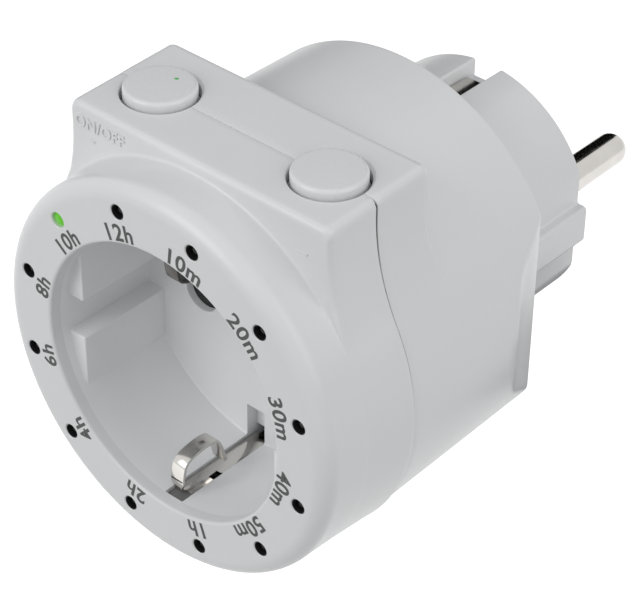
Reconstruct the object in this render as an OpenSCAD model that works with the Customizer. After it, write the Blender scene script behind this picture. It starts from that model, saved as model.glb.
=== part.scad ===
// Plug-in timer switch: a round housing with a socket recess in front, a block with two buttons
// on top and a two-pin plug collar behind. Millimetres, +Z up, +Y toward the wall.
// The origin is the centre of the plug collar's end face, where the plug seats in the wall socket.

/* [Housing] */
// Diameter of the front face over its rounded edge
face_d = 55.4; // [54:0.1:57]
// How much wider the front shell is at the parting line than at the front face
front_flare = 1.4; // [0.8:0.1:2.4]
// How much wider the rear shell is at the parting line than the front face
rear_flare = 0.8; // [0.6:0.1:1.8]
// How much the rear shell narrows from the parting line to its rear rim
rim_taper = 0.8; // [0:0.1:1.2]
// Length of the housing from the front face to the rear rim
body_len = 45; // [45:0.5:55]
// Length of the front shell from the front face to the parting line
front_len = 15.5; // [14.5:0.1:16.5]
// Radius of the front face's rounded edge
face_edge_r = 2.3; // [0.5:0.1:2.6]
// Thickness of both shells' side walls
shell_wall = 2; // [1.6:0.1:2.1]
// Thickness of the front face
face_wall = 1.8; // [1.2:0.1:2]
// Thickness of the rear wall
rear_wall = 2.2; // [1.5:0.1:2.6]

/* [Button block] */
// Width of the block across its flat flanks, as a share of the front face's diameter
block_share = 0.769; // [0.74:0.001:0.8]
// How far the block's top stands above the front face's edge
block_rise = 2.1; // [1.9:0.1:3.5]
// Length of the block along the plug axis
block_len = 18; // [17:0.5:19]
// How far the block's front face stands back from the front face
block_step = 7; // [6.5:0.1:7.5]
// Radius of the concave fillets between the flanks and the barrel
flank_r = 30; // [22:0.5:36]
// How far the circle that the fillets run into lies inside the rear shell
flank_sunk = 0.2; // [0.1:0.05:0.4]
// Radius of the block's outer edges
block_edge_r = 1.2; // [0.4:0.1:1.5]
// Thickness of the block's top wall
top_wall = 1.8; // [1.2:0.1:2]

/* [Buttons] */
// Distance between the two button centres, as a share of the block's width
button_share = 0.6526; // [0.62:0.0001:0.655]
// Diameter of a button cap
cap_d = 9.45; // [8:0.05:9.8]
// Diameter of the hole round a cap
cap_hole_d = 10.3; // [10.1:0.05:11]
// How far a cap stands above the block's top
cap_proud = 1.1; // [0.8:0.05:1.5]
// Travel of a button
cap_travel = 0.5; // [0.2:0.05:0.5]
// Radius of a cap's top edge
cap_edge_r = 0.5; // [0.2:0.05:0.7]
// Diameter of the status lens in the left cap
lens_d = 0.7; // [0.5:0.05:1]

/* [Grip scoops] */
// How deep a scoop bites into the rear rim
scoop_rim_bite = 3.8; // [2.8:0.1:4.2]
// How deep a scoop bites where its slope begins
scoop_knee_bite = 2.1; // [1.6:0.1:2.4]
// Length of the slope from its beginning to the rear rim
scoop_slope_len = 4.8; // [4:0.1:6]
// Radius of the hollow ahead of the slope
scoop_r = 7.5; // [5:0.1:8]
// How far the hollow dips under the slope's beginning
scoop_dip = 0.1; // [0.05:0.05:0.3]

/* [Plug] */
// Diameter of the plug collar
collar_d = 36.2; // [35.8:0.1:36.6]
// Length of the collar from the rear rim to its end face
collar_len = 19; // [18:0.5:21]
// Distance between the collar's side flats
collar_flat_w = 33; // [32.4:0.1:34]
// Distance over the side ribs on the flats
rib_span = 36.2; // [35.8:0.1:36.6]
// Width of a side rib
rib_w = 5.6; // [4:0.1:6]
// Thickness of the collar's wall
collar_wall = 2; // [1.5:0.1:2.2]
// Thickness of the collar's end wall
end_wall = 2; // [1.6:0.1:2.4]
// Width of the groove that holds an earth strip
groove_w = 4.2; // [3.8:0.1:4.4]
// Distance over the two earth strips
earth_span = 32; // [31.6:0.1:32.4]
// Diameter of a contact pin
pin_d = 4.8; // [4:0.05:4.9]
// Distance between the two pins, and between the two contact holes
pin_pitch = 19; // [18.6:0.1:19.4]
// Length of a pin beyond the collar's end face
pin_reach = 19.4; // [17:0.1:20]

/* [Socket] */
// Diameter of the socket recess, as a share of the front face's diameter
recess_share = 0.704; // [0.698:0.001:0.71]
// Depth of the recess
recess_depth = 17.5; // [17.5:0.1:18.5]
// Bevel of the recess mouth
mouth_bevel = 0.4; // [0.2:0.05:0.6]
// Thickness of the recess wall
insert_wall = 1.5; // [1.2:0.1:1.6]
// Thickness of the recess floor
floor_wall = 2.5; // [2:0.1:3]
// Diameter of a contact hole
contact_hole_d = 5.6; // [5.2:0.1:5.8]
// How far the side guide blocks stand in from the recess wall
guide_reach = 3.05; // [2.6:0.05:3.3]
// Width of the slot between two guide blocks
guide_slot_w = 5.8; // [5.4:0.1:6.4]
// How far the guide blocks stand back from the front face
guide_set_back = 3; // [2.4:0.1:5]
// Width of a slot for an earth clip
clip_slot_w = 3.1; // [2.8:0.1:3.4]
// Width of an earth clip
clip_w = 2.2; // [1.8:0.1:2.4]
// How far the crests of the earth clips stand in from the recess wall
clip_reach = 5.9; // [5.5:0.1:6]

/* [Indicator lights] */
// Where the circle of indicator holes lies between the recess insert and the face's edge, as a share
led_circle_share = 0.4328; // [0.4:0.0001:0.46]
// Diameter of an indicator hole
led_hole_d = 2.1; // [1.9:0.05:2.4]
// Diameter of a light's lens
led_d = 1.9; // [1.6:0.05:1.95]

/* [Hidden] */
LED_NODES = [
    "led_10min", "led_20min", "led_30min", "led_40min", "led_50min", "led_1h",
    "led_2h", "led_4h", "led_6h", "led_8h", "led_10h", "led_12h"
];
$fn = 96;

// Overrun of every cut, and the clearances between pieces
overrun = 1;
run_gap = 0.05;
seat_gap = 0.2;
loose_gap = 0.3;

// Diameters that follow the front face
front_part_d = face_d + front_flare;
rear_part_d = face_d + rear_flare;
rim_d = rear_part_d - rim_taper;
recess_d = face_d * recess_share;
guide_w = recess_d - 2 * guide_reach;
clip_span = recess_d - 2 * clip_reach;
scoop_rim_w = rim_d - 2 * scoop_rim_bite;
scoop_knee_w = rim_d - 2 * scoop_knee_bite;
block_w = face_d * block_share;
block_top = face_d / 2 + block_rise;
button_pitch = block_w * button_share;

// Places along the plug axis, from the front face back to the wall
face_y = -(collar_len + body_len);
insert_y = face_y + face_wall;
block_y = face_y + block_step;
part_y = face_y + front_len;
floor_y = face_y + recess_depth;
pocket_y = floor_y + floor_wall;
block_back_y = block_y + block_len;
rear_y = -collar_len;
inner_rear_y = rear_y - rear_wall;

// Block outline: centre of the flank fillets and the point where they meet the barrel
block_half = block_w / 2;
inner_top = block_top - top_wall;
inner_edge_r = 0.3;
flank_x = block_half + flank_r;
flank_barrel_r = rear_part_d / 2 - flank_sunk;
flank_reach = flank_r + flank_barrel_r;
flank_z = sqrt(pow(flank_reach, 2) - pow(flank_x, 2));
button_x = button_pitch / 2;
contact_x = pin_pitch / 2;
corner_angle = 45;

// Shutter pocket behind the recess floor
shutter_t = 1.2;
shutter_lap = 0.4;
shutter_arm_w = 3.4;
spring_wire = 0.35;
spring_turns = 2;
pivot_r = 1.5;
hub_r = 2.6;
pocket_gap = 2.8;
spring_y = pocket_y + seat_gap + shutter_t + run_gap;
insert_end_y = spring_y + spring_turns * spring_wire + loose_gap;
insert_r = recess_d / 2 + insert_wall;
lobe_r = contact_hole_d / 2 + shutter_lap;
pocket_r = contact_x + lobe_r + pocket_gap;
spring_leg = 8;
stop_r = 0.7;

// Carrier behind the shutter, and what it holds
plate_t = 1.6;
bracket_t = 0.6;
bracket_w = 3;
link_h = 4;
link_w = 2;
bracket_y = insert_end_y + seat_gap / 2;
plate_end_y = insert_end_y + plate_t;
socket_r = 3.5;
grip_r = pin_d / 2 - run_gap;
socket_len = 15.3;
socket_y = insert_end_y + seat_gap;
socket_slot_w = 0.8;
socket_slot_share = 0.75;
holder_wall = 0.85;
holder_end = 0.8;
holder_h = 2 * (socket_r + run_gap + holder_wall) + holder_wall;
holder_w = 2 * (socket_r + run_gap + holder_wall);
holder_len = socket_y + socket_len + run_gap + holder_end - plate_end_y;
tag_w = 1.8;
tag_t = 0.8;
tag_y = socket_y + socket_len - 2 * tag_t;
carrier_screw_r = 0.8;
carrier_screw_head_r = 1.5;
carrier_screw_head = 1;
carrier_screw_len = 5;
CARRIER_SCREWS = corners((insert_r + pocket_r) / 2);

// Earth clips: leaf thickness, and where each leaf runs
leaf_t = 0.5;
leaf_z = insert_r - insert_wall / 2 - loose_gap;
crest_z = clip_span / 2;
leaf_end_y = bracket_y - seat_gap;
hump_len = 8.6;
slot_lip = 0.7;
slot_in_z = crest_z + slot_lip;
leaf_clear = 3.2;
strip_t = 0.6;
strip_w = groove_w - 2 * seat_gap;
strip_z = earth_span / 2;
groove_z = strip_z - strip_t - run_gap;
strip_end_gap = 2.2;
strip_hook = 1.6;

// Pins and busbars
pin_shank_r = 2;
pin_head = 0.6;
busbar_w = 5.6;
busbar_t = 0.8;
carrier_back = 2;
carrier_y = rear_y + carrier_back;
shank_y = carrier_y - pin_head;

// Lights behind the face
led_first = 15;
led_step = 30;
led_sunk = 0.3;
led_lift = 0.1;
led_base_d = 2.6;
led_base = 0.9;
led_tip = 0.5;
led_tip_share = 0.6;
led_circle_r = insert_r + (face_d / 2 - insert_r) * led_circle_share;
shield_len = 2.8;
shield_y = insert_y;
led_board_t = 1;
led_base_y = shield_y + shield_len + led_lift;
led_board_y = led_base_y + led_base;
led_board_back = led_board_y + led_board_t;
shield_in_r = insert_r + loose_gap;
shield_out_r = face_d / 2 - shell_wall - run_gap * 2;
light_hole_r = led_d / 2 + seat_gap + run_gap;
notch_z = leaf_z + leaf_clear;

// Housing screws and their bosses
screw_r = 1.4;
screw_head_r = 2;
screw_head = 1.8;
screw_len = 11.5;
screw_seat = 4.5;
screw_slot_w = 0.7;
screw_slot = 1;
boss_margin = 0.4;
boss_r = (rim_d / 2 - insert_r - loose_gap - boss_margin) / 2;
boss_out = insert_r + loose_gap + boss_r;
seat_y = part_y + screw_seat;
BOSSES = corners(boss_out);

// Button board and switches
board_t = 0.8;
switch_w = 6;
switch_h = 2.9;
plunger_r = 1.75;
plunger_up = 0.7;
plunger_down = 1.3;
flange_t = 0.9;
flange_r = 6;
flange_side = block_half - shell_wall - button_x - seat_gap;
flange_z = inner_top - run_gap * 2 - flange_t;
stem_r = 1.8;
stem_len = 0.45;
plunger_z = flange_z - stem_len;
switch_z = plunger_z - plunger_up;
board_z = switch_z - switch_h;
board_w = block_w - 2 * shell_wall - 2 * loose_gap;
board_y = block_y + shell_wall + seat_gap;
board_len = 12.8;
shelf_w = 2.4;
shelf_t = 1;
shelf_len = 5;
cap_z = block_top + cap_proud;
lens_x = 0.7;
lens_y = 2.2;
status_led_w = 1.6;
status_led_d = 0.8;
status_led_h = 0.6;
connector_w = 5;
connector_h = 1.2;
connector_x = 3.8;
connector_lap = 2;
connector_len = board_y + connector_lap - led_board_back;
ribbon_w = 2.8;
ribbon_t = 0.4;
ribbon_gap = 0.8;
ribbon_x = link_w / 2 + ribbon_gap;
ribbon_lap = 3;
ribbon_set_back = 1;
ribbon_y = plate_end_y + ribbon_set_back;

// Main board and what it carries
main_t = 1.6;
main_share = 0.778;
main_w = (rim_d - 2 * shell_wall) * main_share;
main_top_z = -holder_h / 2;
main_under_z = main_top_z - main_t;
main_y = plate_end_y + seat_gap;
main_gap = 0.4;
main_end_y = inner_rear_y - strip_t - main_gap;
slot_play = 0.2;
busbar_y = main_end_y - 2 * busbar_t;
relay_w = 19;
relay_d = 15.5;
relay_h = 15.3;
relay_set_back = 0.2;
film_w = 5;
film_len = 13;
film_h = 11;
side_x = contact_x + holder_w / 2 + loose_gap;
film_set_back = 1.8;
can_r = 2.4;
can_h = 11;
can_set_back = 4.4;
disc_r = 4;
disc_t = 3.6;
disc_set_back = 11.2;
lead_w = 0.6;
fuse_r = 2.5;
fuse_len = 9;
fuse_gap = 0.1;
low_x = contact_x + busbar_w / 2 + 2 * slot_play;
chip_w = 5.2;
chip_len = 8;
chip_t = 1.6;
bridge_w = 5;
bridge_len = 6.5;
bridge_t = 2.5;
low_gap = 0.8;

// Stretches a flat shape, drawn across the plug axis, from y0 toward the wall
module upright(y0, len) {
    translate([0, y0 + len, 0]) rotate([90, 0, 0]) linear_extrude(height = len) children();
}

// Turns an outline of [radius, place along the plug axis] points about the plug axis
module turned(points) {
    rotate([-90, 0, 0]) rotate_extrude() polygon(points);
}

// A rod along the plug axis, from y0 toward the wall, centred on x and z
module rod(x, z, r, y0, len) {
    translate([x, y0, z]) rotate([-90, 0, 0]) cylinder(h = len, r = r);
}

// A block between two corners
module block(low, high) {
    translate(low) cube(high - low);
}

// Four places at one distance from the plug axis, on its diagonals
function corners(r) = [
    for (sx = [-1, 1], sz = [-1, 1]) r * [sx * cos(corner_angle), sz * sin(corner_angle)]
];

// The same pieces above and below the plug axis
module above_and_below() {
    children();
    mirror([0, 0, 1]) children();
}

// Outline of a bent leaf: each point of the path moved half the thickness to one side
function leaf_dir(p, i) = (p[i + 1] - p[i]) / norm(p[i + 1] - p[i]);
function leaf_turn(p, i) =
    i == 0 ? leaf_dir(p, 0)
    : i == len(p) - 1 ? leaf_dir(p, i - 1)
    : (leaf_dir(p, i - 1) + leaf_dir(p, i)) / (1 + leaf_dir(p, i - 1) * leaf_dir(p, i));
function leaf_side(p, t) = [for (i = [0:len(p) - 1]) p[i] + t * [-leaf_turn(p, i)[1], leaf_turn(p, i)[0]]];
function leaf_outline(p, t) = concat(
    leaf_side(p, t / 2),
    [for (i = [len(p) - 1:-1:0]) leaf_side(p, -t / 2)[i]]
);

// Outline of the block and its flank fillets, drawn in by an inset, with rounded top corners
module block_outline(inset, top, corner_r) {
    half = block_half - inset;
    barrel_share = (flank_barrel_r - inset) / flank_reach;
    meet = [flank_x, flank_z] * barrel_share;
    difference() {
        union() {
            polygon([
                [0, 0], meet, [meet[0], flank_z], [half, flank_z],
                [half, top - corner_r], [half - corner_r, top],
                [corner_r - half, top], [-half, top - corner_r],
                [-half, flank_z], [-meet[0], flank_z], [-meet[0], meet[1]]
            ]);
            for (side = [-1, 1]) translate([side * (half - corner_r), top - corner_r]) circle(r = corner_r);
        }
        for (side = [-1, 1]) translate([side * flank_x, flank_z]) circle(r = flank_r + inset);
    }
}

// Outer body of one half of the block, with its free end's top edge rounded
module block_half_body(y0, len, free_y) {
    away = sign(y0 + len / 2 - free_y);
    intersection() {
        upright(y0, len) block_outline(0, block_top, block_edge_r);
        rotate([90, 0, 90]) translate([0, 0, -block_w]) linear_extrude(height = 2 * block_w) union() {
            polygon([
                [free_y, 0], [free_y, block_top - block_edge_r],
                [free_y + away * block_edge_r, block_top],
                [free_y + away * 2 * len, block_top], [free_y + away * 2 * len, 0]
            ]);
            translate([free_y + away * block_edge_r, block_top - block_edge_r]) circle(r = block_edge_r);
        }
    }
}

// The two round holes that the button caps sit in
module button_holes() {
    for (side = [-1, 1])
        translate([side * button_x, part_y, inner_top - overrun])
            cylinder(h = top_wall + 2 * overrun, r = cap_hole_d / 2);
}

// Everything placed on the circle of indicator lights
module at_led(i) {
    angle = led_first + led_step * i;
    translate([led_circle_r * sin(angle), 0, led_circle_r * cos(angle)]) children();
}

module front_housing() {
    face_r = face_d / 2;
    part_r = front_part_d / 2;
    color("whitesmoke")
    difference() {
        union() {
            difference() {
                union() {
                    rotate([-90, 0, 0]) rotate_extrude() union() {
                        polygon([
                            [0, face_y], [face_r - face_edge_r, face_y],
                            [face_r, face_y + face_edge_r], [part_r, part_y], [0, part_y]
                        ]);
                        translate([face_r - face_edge_r, face_y + face_edge_r]) circle(r = face_edge_r);
                    }
                    block_half_body(block_y, part_y - block_y, block_y);
                }
                turned([
                    [0, insert_y], [face_r - shell_wall, insert_y],
                    [part_r - shell_wall, part_y + overrun], [0, part_y + overrun]
                ]);
                upright(block_y + shell_wall, front_len) block_outline(shell_wall, inner_top, inner_edge_r);
            }
            for (p = BOSSES) rod(p[0], p[1], boss_r, led_board_back, part_y - led_board_back);
        }
        for (p = BOSSES)
            rod(p[0], p[1], screw_r + run_gap, seat_y - screw_len - loose_gap, screw_len + overrun);
        for (i = [0:len(LED_NODES) - 1])
            at_led(i) rod(0, 0, led_hole_d / 2, face_y - overrun, face_wall + 2 * overrun);
        turned([
            [0, face_y - overrun], [recess_d / 2 + mouth_bevel, face_y - overrun],
            [recess_d / 2 + mouth_bevel, face_y], [recess_d / 2, face_y + mouth_bevel],
            [recess_d / 2, insert_y + overrun], [0, insert_y + overrun]
        ]);
        button_holes();
    }
}

// Plan of one scoop: a hollow that runs into a slope toward the rim
module scoop_plan() {
    knee = [scoop_knee_w / 2, rear_y - scoop_slope_len];
    rim = [scoop_rim_w / 2, rear_y];
    slope = (rim - knee) / norm(rim - knee);
    centre = knee + (scoop_r - scoop_dip) * [slope[1], -slope[0]];
    past = rim + slope * overrun;
    polygon([knee, past, [centre[0] + scoop_r, past[1]], centre]);
    translate(centre) circle(r = scoop_r);
}

// Outline of the collar, drawn in by an inset
module collar_outline(inset) {
    r = collar_d / 2 - inset;
    intersection() {
        circle(r = r);
        square([collar_flat_w - 2 * inset, collar_d], center = true);
    }
}

module collar_section() {
    difference() {
        union() {
            collar_outline(0);
            square([rib_span, rib_w], center = true);
        }
        for (side = [-1, 1])
            translate([0, side * (groove_z + collar_d / 2)]) square([groove_w, collar_d], center = true);
    }
}

module collar_hollow(extra) {
    floor_z = groove_z - collar_wall + seat_gap * 2 - extra;
    difference() {
        collar_outline(collar_wall + extra);
        for (side = [-1, 1])
            translate([0, side * (floor_z + collar_d / 2)])
                square([groove_w + 2 * (collar_wall + extra), collar_d], center = true);
    }
}

module rear_housing() {
    part_r = rear_part_d / 2;
    rim_r = rim_d / 2;
    keep_x = scoop_rim_w / 2 - shell_wall;
    keep_y = rear_y - scoop_slope_len - scoop_r;
    slot_z = groove_z;
    color("whitesmoke")
    difference() {
        union() {
            difference() {
                union() {
                    turned([[0, part_y], [part_r, part_y], [rim_r, rear_y], [0, rear_y]]);
                    block_half_body(part_y, block_back_y - part_y, block_back_y);
                }
                difference() {
                    union() {
                        turned([
                            [0, part_y - overrun], [part_r - shell_wall, part_y - overrun],
                            [rim_r - shell_wall, inner_rear_y], [0, inner_rear_y]
                        ]);
                        upright(part_y - overrun, block_len - front_len + block_step - shell_wall + overrun)
                            block_outline(shell_wall, inner_top, inner_edge_r);
                    }
                    for (side = [-1, 1])
                        translate([side * (keep_x + part_r) - part_r, keep_y, -part_r])
                            cube([2 * part_r, body_len, 2 * part_r]);
                }
                for (side = [0, 1]) mirror([side, 0, 0])
                    translate([0, 0, -part_r]) linear_extrude(height = 2 * part_r) scoop_plan();
            }
            upright(rear_y - rear_wall / 2, collar_len + rear_wall / 2) collar_section();
            for (p = BOSSES) rod(p[0], p[1], boss_r, part_y, rear_y - rear_wall / 2 - part_y);
            for (side = [0, 1]) mirror([side, 0, 0]) block(
                [board_w / 2 - shelf_w + loose_gap, part_y + overrun, board_z - board_t - shelf_t],
                [block_half - shell_wall / 2, part_y + overrun + shelf_len, board_z - board_t]
            );
        }
        upright(inner_rear_y - overrun, collar_len + rear_wall + overrun - end_wall) collar_hollow(0);
        for (side = [-1, 1])
            rod(side * contact_x, 0, pin_shank_r + run_gap, -end_wall - overrun, end_wall + 2 * overrun);
        for (p = BOSSES) {
            rod(p[0], p[1], screw_r + seat_gap, part_y - overrun, screw_seat + 2 * overrun);
            rod(p[0], p[1], screw_head_r + seat_gap, seat_y, body_len);
        }
        above_and_below() {
            block(
                [-strip_w / 2 - run_gap, inner_rear_y - overrun, slot_z],
                [strip_w / 2 + run_gap, rear_y + overrun, strip_z + run_gap]
            );
            block(
                [-strip_w / 2 - run_gap, -strip_end_gap - strip_t - run_gap, slot_z - collar_wall],
                [strip_w / 2 + run_gap, run_gap - strip_end_gap, strip_z]
            );
        }
        button_holes();
    }
}

module socket_insert() {
    recess_r = recess_d / 2;
    color("white")
    difference() {
        union() {
            difference() {
                rod(0, 0, insert_r, insert_y, insert_end_y - insert_y);
                rod(0, 0, recess_r, insert_y - overrun, floor_y - insert_y + overrun);
                rod(0, 0, pocket_r, pocket_y, insert_end_y - pocket_y + overrun);
            }
            guide_y = face_y + guide_set_back;
            upright(guide_y, floor_y - guide_y + floor_wall / 2) intersection() {
                circle(r = recess_r + insert_wall / 2);
                for (sx = [0, 1]) mirror([sx, 0]) for (sz = [0, 1]) mirror([0, sz])
                    translate([guide_w / 2, guide_slot_w / 2]) square([recess_r, recess_r]);
            }
            rod(0, 0, pivot_r, floor_y + floor_wall / 2, insert_end_y - floor_y - floor_wall / 2);
            stop_y = floor_y + floor_wall / 2;
            rod(0, -spring_leg - stop_r, stop_r, stop_y, insert_end_y - stop_y);
        }
        for (side = [-1, 1])
            rod(side * contact_x, 0, contact_hole_d / 2, floor_y - overrun, floor_wall + 2 * overrun);
        above_and_below() block(
            [-clip_slot_w / 2, insert_y - overrun, slot_in_z],
            [clip_slot_w / 2, insert_end_y + overrun, insert_r + overrun]
        );
        for (p = CARRIER_SCREWS)
            rod(p[0], p[1], carrier_screw_r + run_gap, pocket_y - floor_wall / 2, body_len);
    }
}

// Flat ring with a notch above and below, where the earth clips swing out
module notched_ring(y0, len) {
    difference() {
        rod(0, 0, shield_out_r, y0, len);
        rod(0, 0, shield_in_r, y0 - overrun, len + 2 * overrun);
        above_and_below() block(
            [-clip_slot_w / 2 - loose_gap, y0 - overrun, 0],
            [clip_slot_w / 2 + loose_gap, y0 + len + overrun, notch_z]
        );
    }
}

module light_shield_ring() {
    color("dimgray")
    difference() {
        notched_ring(shield_y, shield_len);
        for (i = [0:len(LED_NODES) - 1])
            at_led(i) rod(0, 0, light_hole_r, shield_y - overrun, shield_len + 2 * overrun);
    }
}

module led_ring_board() {
    color("darkgreen") notched_ring(led_board_y, led_board_t);
}

module indicator_led(i) {
    tip_y = face_y + led_sunk;
    r = led_d / 2;
    color(i == 10 ? "limegreen" : "lightgray") at_led(i) union() {
        turned([
            [0, tip_y], [r * led_tip_share, tip_y], [r, tip_y + led_tip],
            [r, led_base_y], [led_base_d / 2, led_base_y], [led_base_d / 2, led_board_y], [0, led_board_y]
        ]);
    }
}

module led_connector() {
    color("ivory") block(
        [connector_x, led_board_back, board_z],
        [connector_x + connector_w, led_board_back + connector_len, board_z + connector_h]
    );
}

module shutter() {
    color("gray")
    difference() {
        union() {
            rod(0, 0, hub_r, pocket_y + seat_gap, shutter_t);
            for (side = [-1, 1]) rod(side * contact_x, 0, lobe_r, pocket_y + seat_gap, shutter_t);
            block(
                [-contact_x, pocket_y + seat_gap, -shutter_arm_w / 2],
                [contact_x, pocket_y + seat_gap + shutter_t, shutter_arm_w / 2]
            );
        }
        rod(0, 0, pivot_r + run_gap, pocket_y, shutter_t + 2 * overrun);
    }
}

module shutter_spring() {
    coil_r = hub_r - spring_wire / 2;
    color("silver") {
        difference() {
            rod(0, 0, coil_r, spring_y, spring_turns * spring_wire);
            rod(0, 0, pivot_r + seat_gap, spring_y - overrun, spring_turns * spring_wire + 2 * overrun);
        }
        half = spring_wire / 2;
        back_y = spring_y + spring_wire;
        block([-half, spring_y, -spring_leg], [half, back_y, -coil_r + spring_wire]);
        block([coil_r - spring_wire, spring_y, -half], [spring_leg, back_y, half]);
    }
}

module contact_carrier() {
    half_link = link_w / 2 + seat_gap;
    color("lightgray")
    difference() {
        union() {
            rod(0, 0, insert_r, insert_end_y, plate_t);
            for (side = [-1, 1]) block(
                [side * contact_x - holder_w / 2, insert_end_y + plate_t / 2, -holder_h / 2],
                [side * contact_x + holder_w / 2, plate_end_y + holder_len, holder_h / 2]
            );
        }
        for (side = [-1, 1]) {
            rod(
                side * contact_x, 0, socket_r + run_gap,
                insert_end_y - overrun, socket_len + overrun + seat_gap + run_gap
            );
            block(
                [side * contact_x - tag_w / 2 - slot_play, tag_y - slot_play, -holder_h],
                [side * contact_x + tag_w / 2 + slot_play, tag_y + tag_t + slot_play, 0]
            );
        }
        block(
            [-bracket_w / 2 - seat_gap, insert_end_y - overrun, -insert_r - overrun],
            [bracket_w / 2 + seat_gap, bracket_y + bracket_t + run_gap, insert_r + overrun]
        );
        block(
            [-half_link, insert_end_y - overrun, -link_h / 2 - seat_gap],
            [half_link, plate_end_y + overrun, link_h / 2 + seat_gap]
        );
        for (p = CARRIER_SCREWS)
            rod(p[0], p[1], carrier_screw_r + run_gap, insert_end_y - overrun, plate_t + 2 * overrun);
    }
}

module carrier_screws() {
    color("silver") for (p = CARRIER_SCREWS) {
        rod(
            p[0],
            p[1],
            carrier_screw_r,
            plate_end_y - carrier_screw_len + carrier_screw_head,
            carrier_screw_len - carrier_screw_head / 2
        );
        rod(p[0], p[1], carrier_screw_head_r, plate_end_y, carrier_screw_head);
    }
}

module receptacle(side) {
    x = side * contact_x;
    color("goldenrod")
    difference() {
        union() {
            rod(x, 0, socket_r, socket_y, socket_len);
            block(
                [x - tag_w / 2, tag_y, main_under_z - tag_t],
                [x + tag_w / 2, tag_y + tag_t, -grip_r - run_gap]
            );
        }
        rod(x, 0, grip_r, socket_y - overrun, socket_len - tag_t / 2 + overrun);
        block(
            [x - socket_slot_w / 2, socket_y - overrun, 0],
            [x + socket_slot_w / 2, socket_y + socket_len * socket_slot_share, socket_r + overrun]
        );
    }
}

module earth_clip() {
    foot_y = face_y + guide_set_back + hump_len;
    tip_y = face_y + guide_set_back - loose_gap;
    rise = leaf_z - crest_z;
    hump_share = [0, 0.05, 0.18, 0.4, 0.66, 0.83, 0.92, 1];
    rise_share = [0.45, 0.86, 0.97, 1, 1, 0.9, 0.64, 0];
    hump = [
        for (i = [0:len(hump_share) - 1])
            [tip_y + (foot_y - tip_y) * hump_share[i], leaf_z - rise * rise_share[i]]
    ];
    path = concat([[tip_y, leaf_z - leaf_t]], hump, [[leaf_end_y, leaf_z]]);
    color("silver") rotate([90, 0, 90]) translate([0, 0, -clip_w / 2])
        linear_extrude(height = clip_w) polygon(leaf_outline(path, leaf_t));
}

module earth_bracket() {
    rear_face = inner_rear_y - strip_t;
    color("silver") union() {
        block(
            [-bracket_w / 2, bracket_y, -leaf_z - leaf_t / 2],
            [bracket_w / 2, bracket_y + bracket_t, leaf_z + leaf_t / 2]
        );
        block(
            [-link_w / 2, bracket_y + bracket_t / 2, -link_h / 2],
            [link_w / 2, rear_face + strip_t / 2, link_h / 2]
        );
        block([-strip_w / 2, rear_face, -strip_z], [strip_w / 2, inner_rear_y, strip_z]);
        above_and_below() {
            block([-strip_w / 2, rear_face, strip_z - strip_t], [strip_w / 2, -strip_end_gap, strip_z]);
            block(
                [-strip_w / 2, -strip_end_gap - strip_t, strip_z - strip_hook],
                [strip_w / 2, -strip_end_gap, strip_z]
            );
        }
    }
}

module contact_pin(side) {
    r = pin_d / 2;
    color("silver") translate([side * contact_x, 0, 0]) union() {
        rod(0, 0, r, 0, pin_reach - r);
        translate([0, pin_reach - r, 0]) sphere(r = r);
        rod(0, 0, pin_shank_r, shank_y, r - shank_y);
    }
}

module pin_carrier() {
    color("lightgray")
    difference() {
        upright(carrier_y, -end_wall - carrier_y) collar_hollow(seat_gap);
        for (side = [-1, 1])
            rod(side * contact_x, 0, pin_shank_r + run_gap, carrier_y - overrun, collar_len);
    }
}

module busbar(side) {
    x = side * contact_x;
    half = busbar_w / 2;
    plate_y = carrier_y - busbar_t;
    low_z = -half - busbar_t;
    color("goldenrod")
    difference() {
        union() {
            block([x - half, plate_y, low_z], [x + half, carrier_y, half + busbar_t]);
            block([x - half, busbar_y, low_z], [x + half, carrier_y, low_z + busbar_t]);
            block(
                [x - half, busbar_y, main_under_z - busbar_t],
                [x + half, busbar_y + busbar_t, low_z + busbar_t]
            );
        }
        rod(x, 0, pin_shank_r + run_gap, plate_y - overrun, collar_len);
    }
}

module main_board() {
    color("darkgreen")
    difference() {
        block([-main_w / 2, main_y, main_under_z], [main_w / 2, main_end_y, main_top_z]);
        for (side = [-1, 1]) {
            block(
                [side * contact_x - busbar_w / 2 - slot_play, busbar_y - slot_play, main_under_z - overrun],
                [side * contact_x + busbar_w / 2 + slot_play, busbar_y + busbar_t + slot_play, main_top_z + overrun]
            );
            block(
                [side * contact_x - tag_w / 2 - slot_play, tag_y - slot_play, main_under_z - overrun],
                [side * contact_x + tag_w / 2 + slot_play, tag_y + tag_t + slot_play, main_top_z + overrun]
            );
        }
    }
}

module relay() {
    tag_room = main_under_z - tag_t - slot_play;
    color("black")
    difference() {
        block(
            [-relay_w / 2, main_y + relay_set_back, main_under_z - relay_h],
            [relay_w / 2, main_y + relay_set_back + relay_d, main_under_z]
        );
        for (side = [-1, 1]) block(
            [side * contact_x - tag_w / 2 - slot_play, tag_y - slot_play, tag_room],
            [side * contact_x + tag_w / 2 + slot_play, tag_y + tag_t + slot_play, main_under_z + overrun]
        );
    }
}

module film_capacitor() {
    color("gold") block(
        [side_x, main_y + film_set_back, main_top_z],
        [side_x + film_w, main_y + film_set_back + film_len, main_top_z + film_h]
    );
}

module electrolytic_capacitor() {
    color("navy") translate([-side_x - can_r, main_y + can_set_back, main_top_z])
        cylinder(h = can_h, r = can_r);
}

module varistor() {
    z = main_top_z + disc_r + run_gap;
    color("royalblue") union() {
        translate([-side_x - disc_t, main_y + disc_set_back, z]) rotate([0, 90, 0])
            cylinder(h = disc_t, r = disc_r);
        for (side = [-1, 1]) block(
            [-side_x - disc_t / 2 - lead_w / 2, main_y + disc_set_back + side * disc_r / 2 - lead_w / 2, main_top_z],
            [-side_x - disc_t / 2 + lead_w / 2, main_y + disc_set_back + side * disc_r / 2 + lead_w / 2, z]
        );
    }
}

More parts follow.
